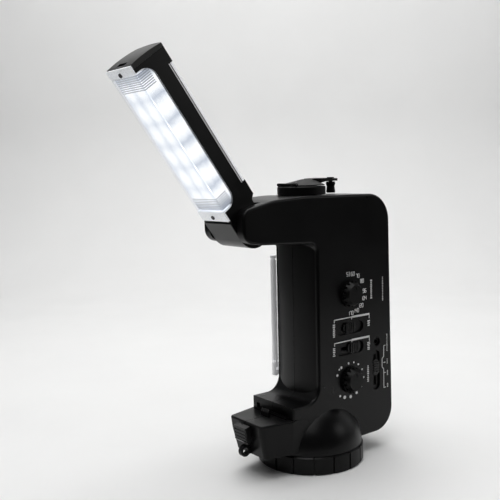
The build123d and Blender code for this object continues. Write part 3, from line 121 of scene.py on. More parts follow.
class Graph:
    """A shader tree. Its calls take values or sockets and give back output sockets."""

    def __init__(self, block, output="OutputMaterial"):
        block.use_nodes = True
        self.block = block
        self.tree = block.node_tree
        self.tree.nodes.clear()
        self.output = self.node(output)

    def feed(self, node, key, value):
        """Link a socket into an input, or set the input to a plain value."""
        if isinstance(value, bpy.types.NodeSocket):
            self.tree.links.new(value, node.inputs[key])
        else:
            node.inputs[key].default_value = value

    def node(self, kind, inputs=None, **attributes):
        node = self.tree.nodes.new("ShaderNode" + kind)
        # the attributes come first, as they decide which sockets are available
        for key, value in attributes.items():
            setattr(node, key, value)
        for key, value in (inputs or {}).items():
            self.feed(node, key, value)
        return node

    def out(self, kind, inputs=None, output=0, **attributes):
        return self.node(kind, inputs, **attributes).outputs[output]

    def finish(self, surface):
        self.feed(self.output, "Surface", surface)
        return self.block

    def coords(self):
        return self.out("TexCoord", output="Object")

    def noise(self, coords, scale, detail, roughness=0.5, output="Fac"):
        return self.out("TexNoise", {"Vector": coords, "Scale": scale, "Detail": detail,
                                     "Roughness": roughness}, output)

    def cells(self, coords, scale, **attributes):
        return self.out("TexVoronoi", {"Vector": coords, "Scale": scale}, "Distance",
                        **attributes)

    def calc(self, operation, *operands, **attributes):
        return self.out("Math", dict(enumerate(operands)), operation=operation, **attributes)

    def vector(self, operation, *operands):
        output = "Value" if operation in ("DOT_PRODUCT", "LENGTH") else "Vector"
        return self.out("VectorMath", dict(enumerate(operands)), output, operation=operation)

    def remap(self, value, span=(0.0, 1.0), to=(0.0, 1.0)):
        return self.out("MapRange", {"From Min": span[0], "From Max": span[1], "To Min": to[0],
                                     "To Max": to[1], "Value": value}, "Result")

    def ramp(self, factor, stops):
        """Colour ramp; stops are (position, rgb)."""
        node = self.node("ValToRGB", {"Fac": factor})
        elements = node.color_ramp.elements
        elements.remove(elements[0])
        elements[0].position = stops[0][0]
        elements[0].color = (*stops[0][1], 1)
        for position, colour in stops[1:]:
            elements.new(position).color = (*colour, 1)
        return node.outputs["Color"]

    def mix_colours(self, factor, first, second):
        return self.out("Mix", {"Factor": factor, "A": first, "B": second}, "Result",
                        data_type="RGBA")

    def mix_shaders(self, factor, first, second):
        return self.out("MixShader", {"Fac": factor, 1: first, 2: second})

    def bump(self, height, strength, depth, normal=None):
        """Normal from a height; depth in mm."""
        node = self.node("Bump", {"Strength": strength, "Distance": depth * MM,
                                  "Height": height})
        if normal:
            self.feed(node, "Normal", normal)
        return node.outputs["Normal"]

    def edge(self, radius, span, amount=1.0):
        """`amount` along edges, 0 on flat faces, from rounded against true normals."""
        rounded = self.out("Bevel", {"Radius": radius * MM}, samples=4)
        true = self.out("NewGeometry", output="Normal")
        turned = self.calc("SUBTRACT", 1.0, self.vector("DOT_PRODUCT", rounded, true))
        return self.remap(turned, span=span, to=(0.0, amount))

    def handle_distance(self, coords, direction):
        """Distance in mm from the hinge along one of the handle's directions."""
        reach = self.vector("DOT_PRODUCT", coords, scaled(direction, 1000.0))
        return self.calc("SUBTRACT", reach, sum(a * b for a, b in zip(direction, HINGE)))


def new_graph(name):
    return Graph(bpy.data.materials.new(name))


# ------------------------------------------------------------------ kinds of material
def plastic(name, base, rough, grain=900.0, grain_depth=0.04, tint=(1, 1, 1), wear=0.35,
            specular=0.5, dust=0.0):
    """Moulded plastic: fine grain, slow gloss variation, polished edges, faint dust."""
    graph = new_graph(name)
    coords = graph.coords()
    slow = graph.noise(coords, scale=22.0, detail=4.0, roughness=0.6)
    mottle = graph.noise(coords, scale=160.0, detail=3.0, roughness=0.55)
    worn = graph.calc("MULTIPLY", graph.edge(radius=0.7, span=(0.02, 0.12)),
                      graph.remap(mottle, span=(0.35, 0.7), to=(0.2, 1.0)))

    plain_colour = [base * t for t in tint]
    worn_lift = (0.012, 0.012, 0.013)       # added to the brightened colour on worn edges
    worn_colour = (*(c * 2.2 + lift for c, lift in zip(plain_colour, worn_lift)), 1)
    colour = graph.ramp(slow, [(0.3, scaled(plain_colour, 0.82)),
                               (0.7, scaled(plain_colour, 1.15))])
    colour = graph.mix_colours(graph.calc("MULTIPLY", worn, wear), colour, worn_colour)
    if dust > 0:
        specks = graph.noise(coords, scale=2400.0, detail=2.0)
        specks = graph.remap(specks, span=(0.74, 0.8), to=(0.0, dust))
        colour = graph.mix_colours(specks, colour, (0.25, 0.25, 0.24, 1))

    gloss_drift, edge_polish = 0.08, 0.1    # changes of roughness
    drifting = graph.remap(slow, span=(0.25, 0.75), to=(rough - gloss_drift, rough + gloss_drift))
    polish = graph.calc("MULTIPLY", worn, edge_polish)
    grained = graph.bump(graph.cells(coords, scale=grain), strength=0.35, depth=grain_depth)
    return graph.finish(graph.out("BsdfPrincipled", {
        "Base Color": colour,
        "Roughness": graph.calc("SUBTRACT", drifting, polish),
        "Specular IOR Level": specular,
        "Normal": graph.bump(mottle, strength=0.25, depth=0.05, normal=grained),
    }))


def metal(name, colour, rough, axis=2, scratch=0.3, metallic=1.0, glow=0.0):
    """Metal with fine scratches along an axis; glow stands in for a pale room seen in it."""
    graph = new_graph(name)
    coords = graph.coords()
    stretch = [900.0, 900.0, 900.0]
    stretch[axis] = 20.0
    stretched = graph.out("Mapping", {"Scale": stretch, "Vector": coords})
    scratches = graph.noise(stretched, scale=1.0, detail=4.0, roughness=0.7)
    slow = graph.noise(coords, scale=60.0, detail=3.0)
    node = graph.node("BsdfPrincipled", {
        "Metallic": metallic,
        "Base Color": graph.ramp(slow, [(0.3, scaled(colour, 0.86)),
                                        (0.7, tuple(min(1, c * 1.04) for c in colour))]),
        "Roughness": graph.remap(scratches, span=(0.2, 0.8),
                                 to=(max(0.02, rough - 0.06), rough + 0.12)),
        "Normal": graph.bump(scratches, strength=scratch * 0.5, depth=0.02),
    })
    if glow:
        graph.feed(node, "Emission Color", (0.97, 0.98, 1.0, 1.0))
        graph.feed(node, "Emission Strength", glow)
    return graph.finish(node.outputs[0])


def frosting(graph, coords, start, end, amount):
    """Dotted moulded texture over a stretch of the handle, with 0.3 mm soft ends."""
    soft = 0.3
    along = graph.handle_distance(coords, ALONG)
    rise = graph.remap(along, span=(start - soft, start + soft), to=(0.0, amount))
    fall = graph.remap(along, span=(end - soft, end + soft), to=(1.0, 0.0))
    dots = graph.cells(coords, scale=900.0)
    return graph.calc("MULTIPLY", graph.calc("MULTIPLY", rise, fall),
                      graph.remap(dots, span=(0.0, 0.6), to=(0.8, 1.0)))


def joint_and_highlight_bands(graph, coords, wall, bands):
    """Bands of (distance across, grey, opacity) on a wall: a dark joint between bright edges
    painted on as highlight lines.
    """
    first, last = bands[0][0], bands[-1][0]
    depth = graph.remap(graph.handle_distance(coords, ACROSS), span=(first, last))
    places = [(distance - first) / (last - first) for distance, _, _ in bands]
    greys = [(grey, grey, grey * 1.02) for _, grey, _ in bands]
    opacities = [(opacity,) * 3 for _, _, opacity in bands]
    wall_colour = graph.ramp(depth, list(zip(places, greys)))
    graph.feed(wall, "Base Color", wall_colour)
    # painted light: the wall glows in its own colour for some of the light behind it, so its
    # bright bands glow as painted highlight lines
    graph.feed(wall, "Emission Color", wall_colour)
    graph.feed(wall, "Emission Strength", 0.42)
    opacity = graph.ramp(depth, list(zip(places, opacities)))
    # only on the walls: the broad face square to the across direction stays clear
    normal = graph.out("TexCoord", output="Normal")
    facing = graph.calc("ABSOLUTE", graph.vector("DOT_PRODUCT", normal, ACROSS))
    return graph.calc("MULTIPLY", opacity,
                      graph.remap(facing, span=(0.55, 0.9), to=(1.0, 0.0)))


def clear(name, edge=0.35, haze=0.06, frost=(), bands=None, body=(0.86, 0.88, 0.9), lit=0.0):
    """Thin clear moulding: Fresnel gloss, whitish at grazing angles and along edges.

    frost lists (start, end, amount) along the handle; lit is the light the frost carries."""
    graph = new_graph(name)
    coords = graph.coords()
    ripple = graph.noise(coords, scale=240.0, detail=3.0)
    normal = graph.bump(ripple, strength=0.15, depth=0.05)
    rough = 0.06
    see_through = graph.out("BsdfTransparent", {"Color": (0.97, 0.98, 1.0, 1)})
    gloss = graph.out("BsdfGlossy", {
        "Color": (1, 1, 1, 1),
        "Roughness": graph.remap(ripple, span=(0.3, 0.7), to=(rough * 0.6, rough * 1.6)),
        "Normal": normal,
    })
    wall = graph.node("BsdfPrincipled", {"Base Color": (*body, 1), "Roughness": 0.35})
    # Schlick reflectance, the same from both sides of the wall
    facing = graph.out("LayerWeight", {"Blend": 0.5, "Normal": normal}, "Facing")
    power, gain, head_on = 5.0, 0.9, 0.04
    reflectance = graph.calc("MULTIPLY_ADD", graph.calc("POWER", facing, power), gain, head_on)
    glass = graph.mix_shaders(reflectance, see_through, gloss)

    grazing = graph.out("LayerWeight", {"Blend": 0.25}, "Facing")
    opacity = graph.calc("ADD", graph.edge(radius=0.6, span=(0.02, 0.15), amount=edge),
                         graph.remap(grazing, span=(0.3, 1.0), to=(haze, haze + 0.28)),
                         use_clamp=True)
    for start, end, amount in frost:
        opacity = graph.calc("ADD", opacity, frosting(graph, coords, start, end, amount),
                             use_clamp=True)
    if lit:
        graph.feed(wall, "Emission Color", (0.97, 0.985, 1.0, 1))
        graph.feed(wall, "Emission Strength", lit)
    if bands:
        opacity = graph.calc("MAXIMUM", opacity, joint_and_highlight_bands(graph, coords, wall, bands))
    return graph.finish(graph.mix_shaders(opacity, glass, wall.outputs[0]))


def glow_tray(name, strength):
    """Lit metallised tray: bright pools at the LEDs, cooler and dimmer between them."""
    graph = new_graph(name)
    coords = graph.coords()
    # a wave along the handle that peaks at each LED
    pitch = LED_PITCH * MM
    first = (sum(a * b for a, b in zip(ALONG, HINGE)) + FIRST_LED) * MM
    phase = graph.calc("MULTIPLY_ADD", graph.vector("DOT_PRODUCT", coords, ALONG),
                       2 * math.pi / pitch, -2 * math.pi * first / pitch)
    wave = graph.calc("COSINE", phase)
    patches, patch_weight = graph.noise(coords, scale=130.0, detail=3.0), 1.2
    light = graph.calc("MULTIPLY_ADD", patches, patch_weight, wave)
    light_span = (-0.6, 1.7)
    colour = graph.ramp(graph.remap(light, span=light_span),
                        [(0.0, (0.70, 0.80, 0.93)), (0.5, (0.9, 0.95, 1.0)), (1.0, (1, 1, 1))])
    glow = graph.out("Emission", {
        "Color": colour, "Strength": graph.remap(light, span=light_span, to=strength)})
    skin = graph.out("BsdfPrincipled", {
        "Base Color": (0.86, 0.88, 0.92, 1), "Roughness": 0.25, "Metallic": 0.5})
    return graph.finish(graph.out("AddShader", {0: glow, 1: skin}))


def emitter(name, colour, strength, rim):
    """Glowing lens, dimmer and bluer by the factor `rim` where seen at a slant."""
    graph = new_graph(name)
    facing = graph.out("LayerWeight", {"Blend": 0.4}, "Facing")
    return graph.finish(graph.out("Emission", {
        "Color": graph.ramp(facing, [(0.0, colour),
                                     (1.0, (*scaled(colour[:2], rim), colour[2]))]),
        "Strength": graph.remap(facing, to=(strength, strength * rim)),
    }))


def board(name, colour):
    """Circuit board with small gilt spots."""
    graph = new_graph(name)
    coords = graph.coords()
    pads = graph.cells(coords, scale=420.0, distance="MANHATTAN")
    slow = graph.noise(coords, scale=90.0, detail=2.0)
    gilt = (0.5, 0.45, 0.25)
    return graph.finish(graph.out("BsdfPrincipled", {
        "Base Color": graph.ramp(pads, [(0.0, gilt), (0.07, gilt), (0.1, colour),
                                        (1.0, scaled(colour, 1.6))]),
        "Roughness": graph.remap(slow, span=(0.3, 0.7), to=(0.25, 0.45)),
        "Normal": graph.bump(pads, strength=0.3, depth=0.05),
    }))


def solar(name):
    """Dark blue cells with thin silver fingers across and bus bars along (metres)."""
    graph = new_graph(name)
    coords = graph.coords()
    y = graph.out("SeparateXYZ", {0: coords}, "Y")
    along = graph.vector("DOT_PRODUCT", coords, ALONG)

    def lines(source, pitch, width):
        distance = graph.calc("PINGPONG", source, pitch / 2)
        return graph.remap(distance, span=(width / 2, width / 2 + 0.00005), to=(1.0, 0.0))

    silver_lines = graph.calc("MAXIMUM", lines(along, pitch=0.0016, width=0.00015),
                              lines(y, pitch=0.0088, width=0.0007))
    crystals = graph.cells(coords, scale=260.0)
    blue = graph.ramp(crystals, [(0.0, (0.010, 0.016, 0.055)), (1.0, (0.022, 0.035, 0.11))])
    return graph.finish(graph.out("BsdfPrincipled", {
        "Base Color": graph.mix_colours(silver_lines, blue, (0.55, 0.56, 0.58, 1)),
        "Roughness": graph.remap(silver_lines, to=(0.18, 0.4)),
    }))


# ------------------------------------------------------------------ materials of the CAD pieces
COVER_FROST = ((14.0, 24.6, 0.8), (129.4, 140.0, 0.8))      # start, end, amount
# On the strip cover the dark band is a joint and the bright bands are painted highlight lines.
STRIP_JOINT_AND_HIGHLIGHTS = (                                             # across, grey, opacity
    (10.2, 0.7, 0.9), (10.8, 0.7, 0.9), (11.05, 0.03, 0.85),
    (11.75, 0.03, 0.85), (12.05, 0.9, 0.9), (15.6, 0.85, 0.6),
)

# name: (kind, settings, CAD pieces that wear it)
FINISHES = {
    "body_black": (
        plastic, dict(base=0.0031, rough=0.33, grain=1500.0, grain_depth=0.02,
                      tint=(1.0, 0.97, 1.05), dust=0.25, specular=0.18),
        "control_side_shell plain_side_shell battery_door strap_eyelet"),
    "bezel_black": (
        plastic, dict(base=0.0036, rough=0.36, grain=1200.0, grain_depth=0.02, dust=0.2,
                      specular=0.16),
        "torch_bezel_ring"),
    "trim_black": (
        plastic, dict(base=0.0036, rough=0.3, grain=1800.0, grain_depth=0.02, specular=0.3),
        "latch_slider band_switch_slider lamp_switch_slider mode_switch_slider"),
    "crank_black": (
        plastic, dict(base=0.0032, rough=0.42, grain=1800.0, grain_depth=0.02, specular=0.15),
        "crank_hub crank_arm crank_knob crank_knob_pin"),
    "knob_black": (
        plastic, dict(base=0.0028, rough=0.4, grain=2000.0, grain_depth=0.02, specular=0.16),
        "tuning_knob volume_knob earphone_socket"),
    "cap_grey": (
        plastic, dict(base=0.0175, rough=0.36, grain=1500.0, grain_depth=0.02,
                      tint=(1.02, 1.0, 0.95)),
        "handle_end_cap"),
    "handle_black": (
        plastic, dict(base=0.0045, rough=0.3, grain=1600.0, grain_depth=0.015, specular=0.3),
        "handle_housing"),
    "rubber": (
        plastic, dict(base=0.012, rough=0.75, grain_depth=0.05, specular=0.3),
        "port_cover"),
    "component": (
        plastic, dict(base=0.02, rough=0.5, grain=700.0),
        "board_components tuning_capacitor volume_control band_switch_body lamp_switch_body "
        "mode_switch_body charging_socket battery_tray"),
    "gear_white": (
        plastic, dict(base=0.72, rough=0.4, grain=700.0, tint=(1, 0.98, 0.93), wear=0.0),
        "crank_gear"),
    "ferrite": (
        plastic, dict(base=0.06, rough=0.7, grain=500.0, grain_depth=0.08),
        "ferrite_rod"),
    "cell_wrap": (
        plastic, dict(base=0.2, rough=0.28, grain=300.0, grain_depth=0.01,
                      tint=(0.35, 1.0, 0.6), wear=0.0),
        "battery_cells"),
    "paper": (
        plastic, dict(base=0.06, rough=0.85, grain=500.0, grain_depth=0.12,
                      tint=(1, 0.96, 0.9), specular=0.2),
        "speaker_cone"),
    "print_white": (
        plastic, dict(base=0.8, rough=0.55, grain=2600.0, grain_depth=0.01, wear=0.0), ""),
    "chrome": (
        metal, dict(colour=(0.95, 0.95, 0.96), rough=0.34, scratch=0.12, metallic=0.2,
                    glow=0.13),
        "antenna_mast antenna_section_middle antenna_section_upper antenna_tip "
        "antenna_pivot_pin antenna_swivel"),
    "screw_black": (
        metal, dict(colour=(0.06, 0.06, 0.062), rough=0.32),
        "handle_screws"),
    "steel": (
        metal, dict(colour=(0.32, 0.32, 0.33), rough=0.3),
        "shell_screws battery_door_screws handle_hinge_pin crank_fold_pin latch_spring "
        "battery_contacts"),
    "motor_steel": (
        metal, dict(colour=(0.5, 0.5, 0.51), rough=0.32),
        "dynamo_stator dynamo_rotor speaker_basket"),
    "brass": (metal, dict(colour=(0.75, 0.56, 0.26), rough=0.28), "dynamo_pinion"),
    "copper": (metal, dict(colour=(0.76, 0.38, 0.2), rough=0.35, axis=0), "ferrite_coil"),
    "silver": (metal, dict(colour=(0.88, 0.89, 0.91), rough=0.1), "torch_reflector"),
    "clear_cover": (
        clear, dict(edge=0.12, haze=0.04, frost=COVER_FROST, lit=0.28),
        "lamp_cover"),
    "lens_clear": (clear, dict(haze=0.03), "torch_lens"),
    "strip_clear": (clear, dict(haze=0.06, edge=0.2, bands=STRIP_JOINT_AND_HIGHLIGHTS), "strip_cover"),
    "rib_clear": (clear, dict(haze=0.5, edge=0.3, body=(0.42, 0.44, 0.48)), ""),
    "tray": (glow_tray, dict(strength=(0.55, 1.1)), "lamp_reflector"),
    "led": (emitter, dict(colour=(1.0, 1.0, 1.0), strength=6.0, rim=0.6), "lamp_leds"),
    "led_off": (plastic, dict(base=0.75, rough=0.2, grain=400.0, wear=0.0), "torch_led"),
    "board_green": (
        board, dict(colour=(0.02, 0.11, 0.045)),
        "main_circuit_board torch_led_board lamp_led_board"),
    "solar_blue": (solar, {}, "solar_panel"),
}

materials = {name: kind(name, **settings) for name, (kind, settings, _) in FINISHES.items()}
for name, (_, _, pieces) in FINISHES.items():
    for piece in pieces.split():
        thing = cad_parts[piece]
        if not thing.material_slots:
            thing.data.materials.append(materials[name])
        for slot in thing.material_slots:
            slot.material = materials[name]


# ------------------------------------------------------------------ printed marks on the panel
PANEL_Y = -23.6
INK_THICKNESS = 0.05

TUNING_CENTRE = (20.6, 126.0)           # x, z
TUNING_REACH = (15.4, 14.8)             # numerals' distance from it in x and in z
NUMERAL_HEIGHT, NUMERAL_STROKE = 2.8, 0.5
TUNING_MARKS = (                        # angle in degrees, text
    (96, "53"), (78, "60"), (58, "70"), (34, "80"), (2, "96"),
    (-20, "104"), (-44, "120"), (-66, "140"), (-88, "170"),
)

VOLUME_CENTRE = (20.5, 60.5)            # x, z
VOLUME_DOTS = (                         # angle in degrees, distance out, dot radius
    (-137, 15.2, 0.9), (-118, 13.8, 1.38), (-91, 12.9, 1.32), (-61, 12.6, 1.14),
    (-32, 13.2, 0.84), (-2, 13.8, 0.72), (26, 13.6, 0.72), (52, 13.3, 0.78),
    (75, 13.3, 0.78), (99, 13.1, 0.96), (131, 14.6, 1.02), (140, 15.4, 0.72),
    (157, 15.0, 1.02),
)

SWITCH_BRACKETS = (108.1, 90.7)         # heights of the brackets over two slide switches
SWITCH_BARS = (                         # x, rise, to x, rise, width; rises from the height
    (4.0, -0.1, 22.0, 0.1, 0.75),       # thin left half
    (22.0, 0.1, 41.0, 0.0, 1.5),        # thick right half
    (4.2, 0.0, 4.2, -2.2, 0.7), (40.8, 0.0, 40.8, -3.4, 0.7), (22.0, 0.0, 22.0, -1.6, 0.7),
)

# rows of ticks: x, bottom z, top z, tick width, number of ticks, seed
SWITCH_CAPTIONS = (
    (3.8, 95.0, 105.2, 1.9, 7, 1), (3.7, 80.8, 87.6, 1.9, 5, 2),
    (40.2, 98.6, 103.6, 2.4, 3, 3), (40.0, 80.2, 86.8, 2.4, 5, 4),
    (39.2, 55.3, 68.6, 1.5, 9, 5), (43.2, 119.4, 134.4, 1.6, 10, 6),
    (55.8, 116.4, 135.4, 1.0, 15, 7),
)
MODE_CAPTIONS = (
    (60.4, 76.0, 90.0, 0.9, 12, 8), (60.6, 66.0, 70.2, 0.9, 4, 9),
    (60.8, 56.8, 61.0, 0.9, 4, 10), (60.9, 47.0, 50.6, 0.9, 3, 11),
)

MODE_LINE = (                           # x, z of the bracket beside the mode slide
    (56.7, 47.6), (56.6, 62.6), (54.8, 64.4), (54.8, 71.0), (56.6, 72.4), (56.8, 81.2),
)
MODE_STOPS = (47.7, 59.4, 67.6, 81.0)   # z of its stops
MODE_STOP_ENDS = (56.4, 58.6)           # x of each stop's ends
MODE_STROKE = 0.62

# strokes of each numeral, and each stroke's ends as (parts of its width, of its half height)
NUMERALS = {"0": "abcdef", "1": "bc", "2": "abged", "3": "abgcd", "4": "fgbc",
            "5": "afgcd", "6": "afgedc", "7": "abc", "8": "abcdefg", "9": "abcdfg"}
STROKES = {"a": ((0, 1), (1, 1)), "b": ((1, 1), (1, 0)), "c": ((1, 0), (1, -1)),
           "d": ((0, -1), (1, -1)), "e": ((0, 0), (0, -1)), "f": ((0, 1), (0, 0)),
           "g": ((0, 0), (1, 0))}


class Ink:
    """Thin raised ink on the control panel, drawn in panel coordinates (x, z)."""

    def __init__(self):
        self.verts, self.faces = [], []

    def polygon(self, outline):
        count = len(outline)
        start = len(self.verts)
        for y in (PANEL_Y, PANEL_Y - INK_THICKNESS):
            self.verts.extend(point(x, y, z) for x, z in outline)
        self.faces.append(tuple(range(start, start + count)))
        self.faces.append(tuple(range(start + count, start + 2 * count)))
        for i in range(count):
            j = (i + 1) % count
            self.faces.append((start + i, start + j, start + count + j, start + count + i))

    def bar(self, x0, z0, x1, z1, width):
        run = Vector((x1 - x0, z1 - z0))
        side_x = -run.y / run.length * width / 2
        side_z = run.x / run.length * width / 2
        self.polygon([(x0 + side_x, z0 + side_z), (x1 + side_x, z1 + side_z),
                      (x1 - side_x, z1 - side_z), (x0 - side_x, z0 - side_z)])

    def dot(self, x, z, radius, sides=20):
        turns = [2 * math.pi * k / sides for k in range(sides)]
        self.polygon([(x + radius * math.cos(t), z + radius * math.sin(t)) for t in turns])

    def number(self, text, x, z, height, stroke):
        """Plain stroke numerals, centred on (x, z)."""
        width = height * 0.5
        gap = height * 0.22
        left = -(len(text) * width + (len(text) - 1) * gap) / 2
        for character in text:
            for key in NUMERALS[character]:
                (x0, z0), (x1, z1) = STROKES[key]
                self.bar(x + (left + x0 * width), z + z0 * height / 2,
                         x + (left + x1 * width), z + z1 * height / 2, stroke)
            left += width + gap

    def caption(self, x, bottom, top, width, ticks, seed):
        """A row of short ticks standing in for a printed caption."""
        draw = random.Random(seed)
        step = (top - bottom) / ticks
        for k in range(ticks):
            z = bottom + (k + 0.5) * step
            tick = width * draw.uniform(0.85, 1.3)
            self.bar(x - tick / 2, z, x + tick / 2, z, step * 0.6)
            if draw.random() < 0.5:
                stem_x = x + tick * 0.25
                self.bar(stem_x, z - step * 0.4, stem_x, z + step * 0.4, 0.32)


def panel_print():
    ink = Ink()
    for degrees, text in TUNING_MARKS:
        angle = math.radians(degrees)
        ink.number(text, TUNING_CENTRE[0] + TUNING_REACH[0] * math.cos(angle),
                   TUNING_CENTRE[1] + TUNING_REACH[1] * math.sin(angle),
                   height=NUMERAL_HEIGHT, stroke=NUMERAL_STROKE)
    for degrees, reach, radius in VOLUME_DOTS:
        angle = math.radians(degrees)
        ink.dot(VOLUME_CENTRE[0] + reach * math.cos(angle),
                VOLUME_CENTRE[1] + reach * math.sin(angle), radius)
    for z in SWITCH_BRACKETS:
        for x0, rise0, x1, rise1, width in SWITCH_BARS:
            ink.bar(x0, z + rise0, x1, z + rise1, width)
    for row in SWITCH_CAPTIONS:
        ink.caption(*row)
    for start, end in zip(MODE_LINE, MODE_LINE[1:]):
        ink.bar(*start, *end, MODE_STROKE)
    for z in MODE_STOPS:
        ink.bar(MODE_STOP_ENDS[0], z, MODE_STOP_ENDS[1], z, MODE_STROKE)
    for row in MODE_CAPTIONS:
        ink.caption(*row)
    new_object("panel_print", ink.verts, ink.faces, "radio_body", materials["print_white"])


panel_print()


# ------------------------------------------------------------------ ribs in the lamp cover
RIB_PITCH = 1.4
RIB_FOOT = -2.6                                             # across, where a rib's legs end
RIB_PROFILE = ((0.0, -0.42), (0.75, 0.0), (0.0, 0.42))      # inwards, along the handle


def cover_ribs(name, stations):
    """Prismatic ribs inside the clear cover, across its face and down both sides."""
    path = [(RIB_FOOT, -COVER_SIDE), (COVER_FACE, -COVER_SIDE),
            (COVER_FACE, COVER_SIDE), (RIB_FOOT, COVER_SIDE)]
    verts, faces = [], []
    for station in stations:
        start = len(verts)
        for across, y in path:
            inward_across = 1.0 if across == COVER_FACE else 0.0
            inward_y = -1.0 if y > 0 else 1.0
            for inward, along in RIB_PROFILE:
                verts.append(handle_point(across + inward_across * inward,
                                          y + inward_y * inward, station + along))
        for k in range(3):
            for j in range(3):
                a = start + k * 3 + j
                b = start + k * 3 + (j + 1) % 3
                faces.append((a, b, b + 3, a + 3))
        faces.append((start, start + 1, start + 2))
        faces.append((start + 9, start + 10, start + 11))
    new_object(name, verts, faces, "handle", materials["rib_clear"])


cover_ribs("lamp_cover_ribs_tip", [128.4 - RIB_PITCH * k for k in range(8)])
cover_ribs("lamp_cover_ribs_root", [25.6 + RIB_PITCH * k for k in range(7)])


# ------------------------------------------------------------------ lit liners in the lamp
FILM_THICKNESS = 0.25
FILM_START, FILM_END, FILM_STEPS = 25.2, 128.2, 60          # along the handle
WALL_REACH = 0.4        # a film point this near a cover wall is thickened away from it


def lamp_glow(name, stretch, falloff, dim, bright, alpha):
    """Frosted liner lit from behind: soft pools over the LEDs, cooler between them.

    stretch scales a pool's two radii, falloff is where it starts and stops fading,
    dim and bright are strengths between and at the LEDs, alpha is the film's opacity."""
    graph = new_graph(name)
    uv = graph.out("UVMap", uv_map="pools")
    wobble = graph.noise(uv, scale=3.0, detail=3.0, output="Color")
    wobble = graph.vector("SUBTRACT", wobble, (0.5, 0.5, 0.5))
    wobbled = graph.vector("MULTIPLY_ADD", wobble, (0.5, 0.3, 0), uv)
    # one pool per unit square of the UV map, measured from the square's middle
    from_middle = graph.vector("SUBTRACT", graph.vector("FRACTION", wobbled), (0.5, 0.5, 0.0))
    reach = graph.vector("LENGTH", graph.vector("MULTIPLY", from_middle, (*stretch, 0.0)))
    pool = graph.remap(reach, span=falloff, to=(1.0, 0.0))
    # fades out towards both ends of the lamp
    station = graph.out("SeparateXYZ", {0: uv}, "Y")
    within = graph.calc("MULTIPLY", graph.remap(station, span=(-0.35, 0.35)),
                        graph.remap(station, span=(5.65, 6.25), to=(1.0, 0.0)))
    light = graph.calc("MULTIPLY", pool, within)
    end_share = 0.45        # part of the strength and opacity left at the ends
    glow = graph.out("Emission", {
        "Color": graph.ramp(light, [(0.0, (0.80, 0.86, 0.95)), (0.6, (0.97, 0.99, 1.0)),
                                    (1.0, (1, 1, 1))]),
        "Strength": graph.calc("MULTIPLY_ADD", light, bright - dim,
                               graph.remap(within, to=(dim * end_share, dim))),
    })
    translucent = graph.out("BsdfTranslucent", {"Color": (0.9, 0.92, 0.95, 1)})
    film = graph.mix_shaders(0.35, graph.out("BsdfTransparent"), translucent)
    opacity = graph.remap(within, to=(alpha * end_share, alpha))
    return graph.finish(graph.mix_shaders(opacity, film, glow))


def liner(name, section, material, uv_across):
    """Thin film along the lamp; section holds (across, y), uv_across gives their U."""
    verts, faces, uvs = [], [], []
    for depth in (0.0, FILM_THICKNESS):
        for step in range(FILM_STEPS + 1):
            along = FILM_START + (FILM_END - FILM_START) * step / FILM_STEPS
            for across, y in section:
                by_face = abs(across - COVER_FACE) < WALL_REACH
                by_side = abs(abs(y) - COVER_SIDE) < WALL_REACH
                verts.append(handle_point(across + depth if by_face else across,
                                          y - math.copysign(depth, y) if by_side else y,
                                          along))
                uvs.append((uv_across(across, y), (along - FIRST_LED) / LED_PITCH + 0.5))
    columns, rows = len(section), FILM_STEPS + 1
    skin = rows * columns           # vertices in one skin
    for offset in (0, skin):
        for i in range(rows - 1):
            for k in range(columns - 1):
                a = offset + i * columns + k
                faces.append((a, a + 1, a + columns + 1, a + columns))
    for i in range(rows - 1):
        for k in (0, columns - 1):
            a, b = i * columns + k, (i + 1) * columns + k
            faces.append((a, b, b + skin, a + skin))
    for i in (0, rows - 1):
        for k in range(columns - 1):
            a, b = i * columns + k, i * columns + k + 1
            faces.append((a, b, b + skin, a + skin))
    film = new_object(name, verts, faces, "handle", material, smooth=40)
    layer = film.data.uv_layers.new(name="pools")
    for loop in film.data.loops:
        layer.data[loop.index].uv = uvs[loop.vertex_index]


def front_across(across, y):
    return y / 13.0 + 1.0


def side_across(across, y):
    return (across - COVER_FACE) / 10.5 * 0.8 + 0.1


glow_front = lamp_glow("glow_front", stretch=(1.0, 1.0), falloff=(0.2, 0.68),
                       dim=0.9, bright=1.2, alpha=0.9)
glow_side = lamp_glow("glow_side", stretch=(0.25, 1.0), falloff=(0.16, 0.5),
                      dim=0.84, bright=1.25, alpha=0.9)
liner("lamp_front_liner", [(-12.1, -13.6 + 27.2 * k / 16) for k in range(17)],
      glow_front, front_across)
for side, side_name in ((-1, "near"), (1, "far")):
    liner("lamp_side_liner_" + side_name,
          [(-11.7 + 11.15 * k / 8, side * 13.85) for k in range(9)], glow_side, side_across)


# ------------------------------------------------------------------ latch spring
WIRE_RADIUS = 0.32
SPRING_CLEARANCE = 0.35     # from the CAD spring's outside to the wire's middle
SPRING_TURNS = 4.5
STEPS_PER_TURN, WIRE_SIDES = 28, 10
END_SHARE, END_RISE = 0.12, 0.06        # each closed end's share of the turns and of the rise


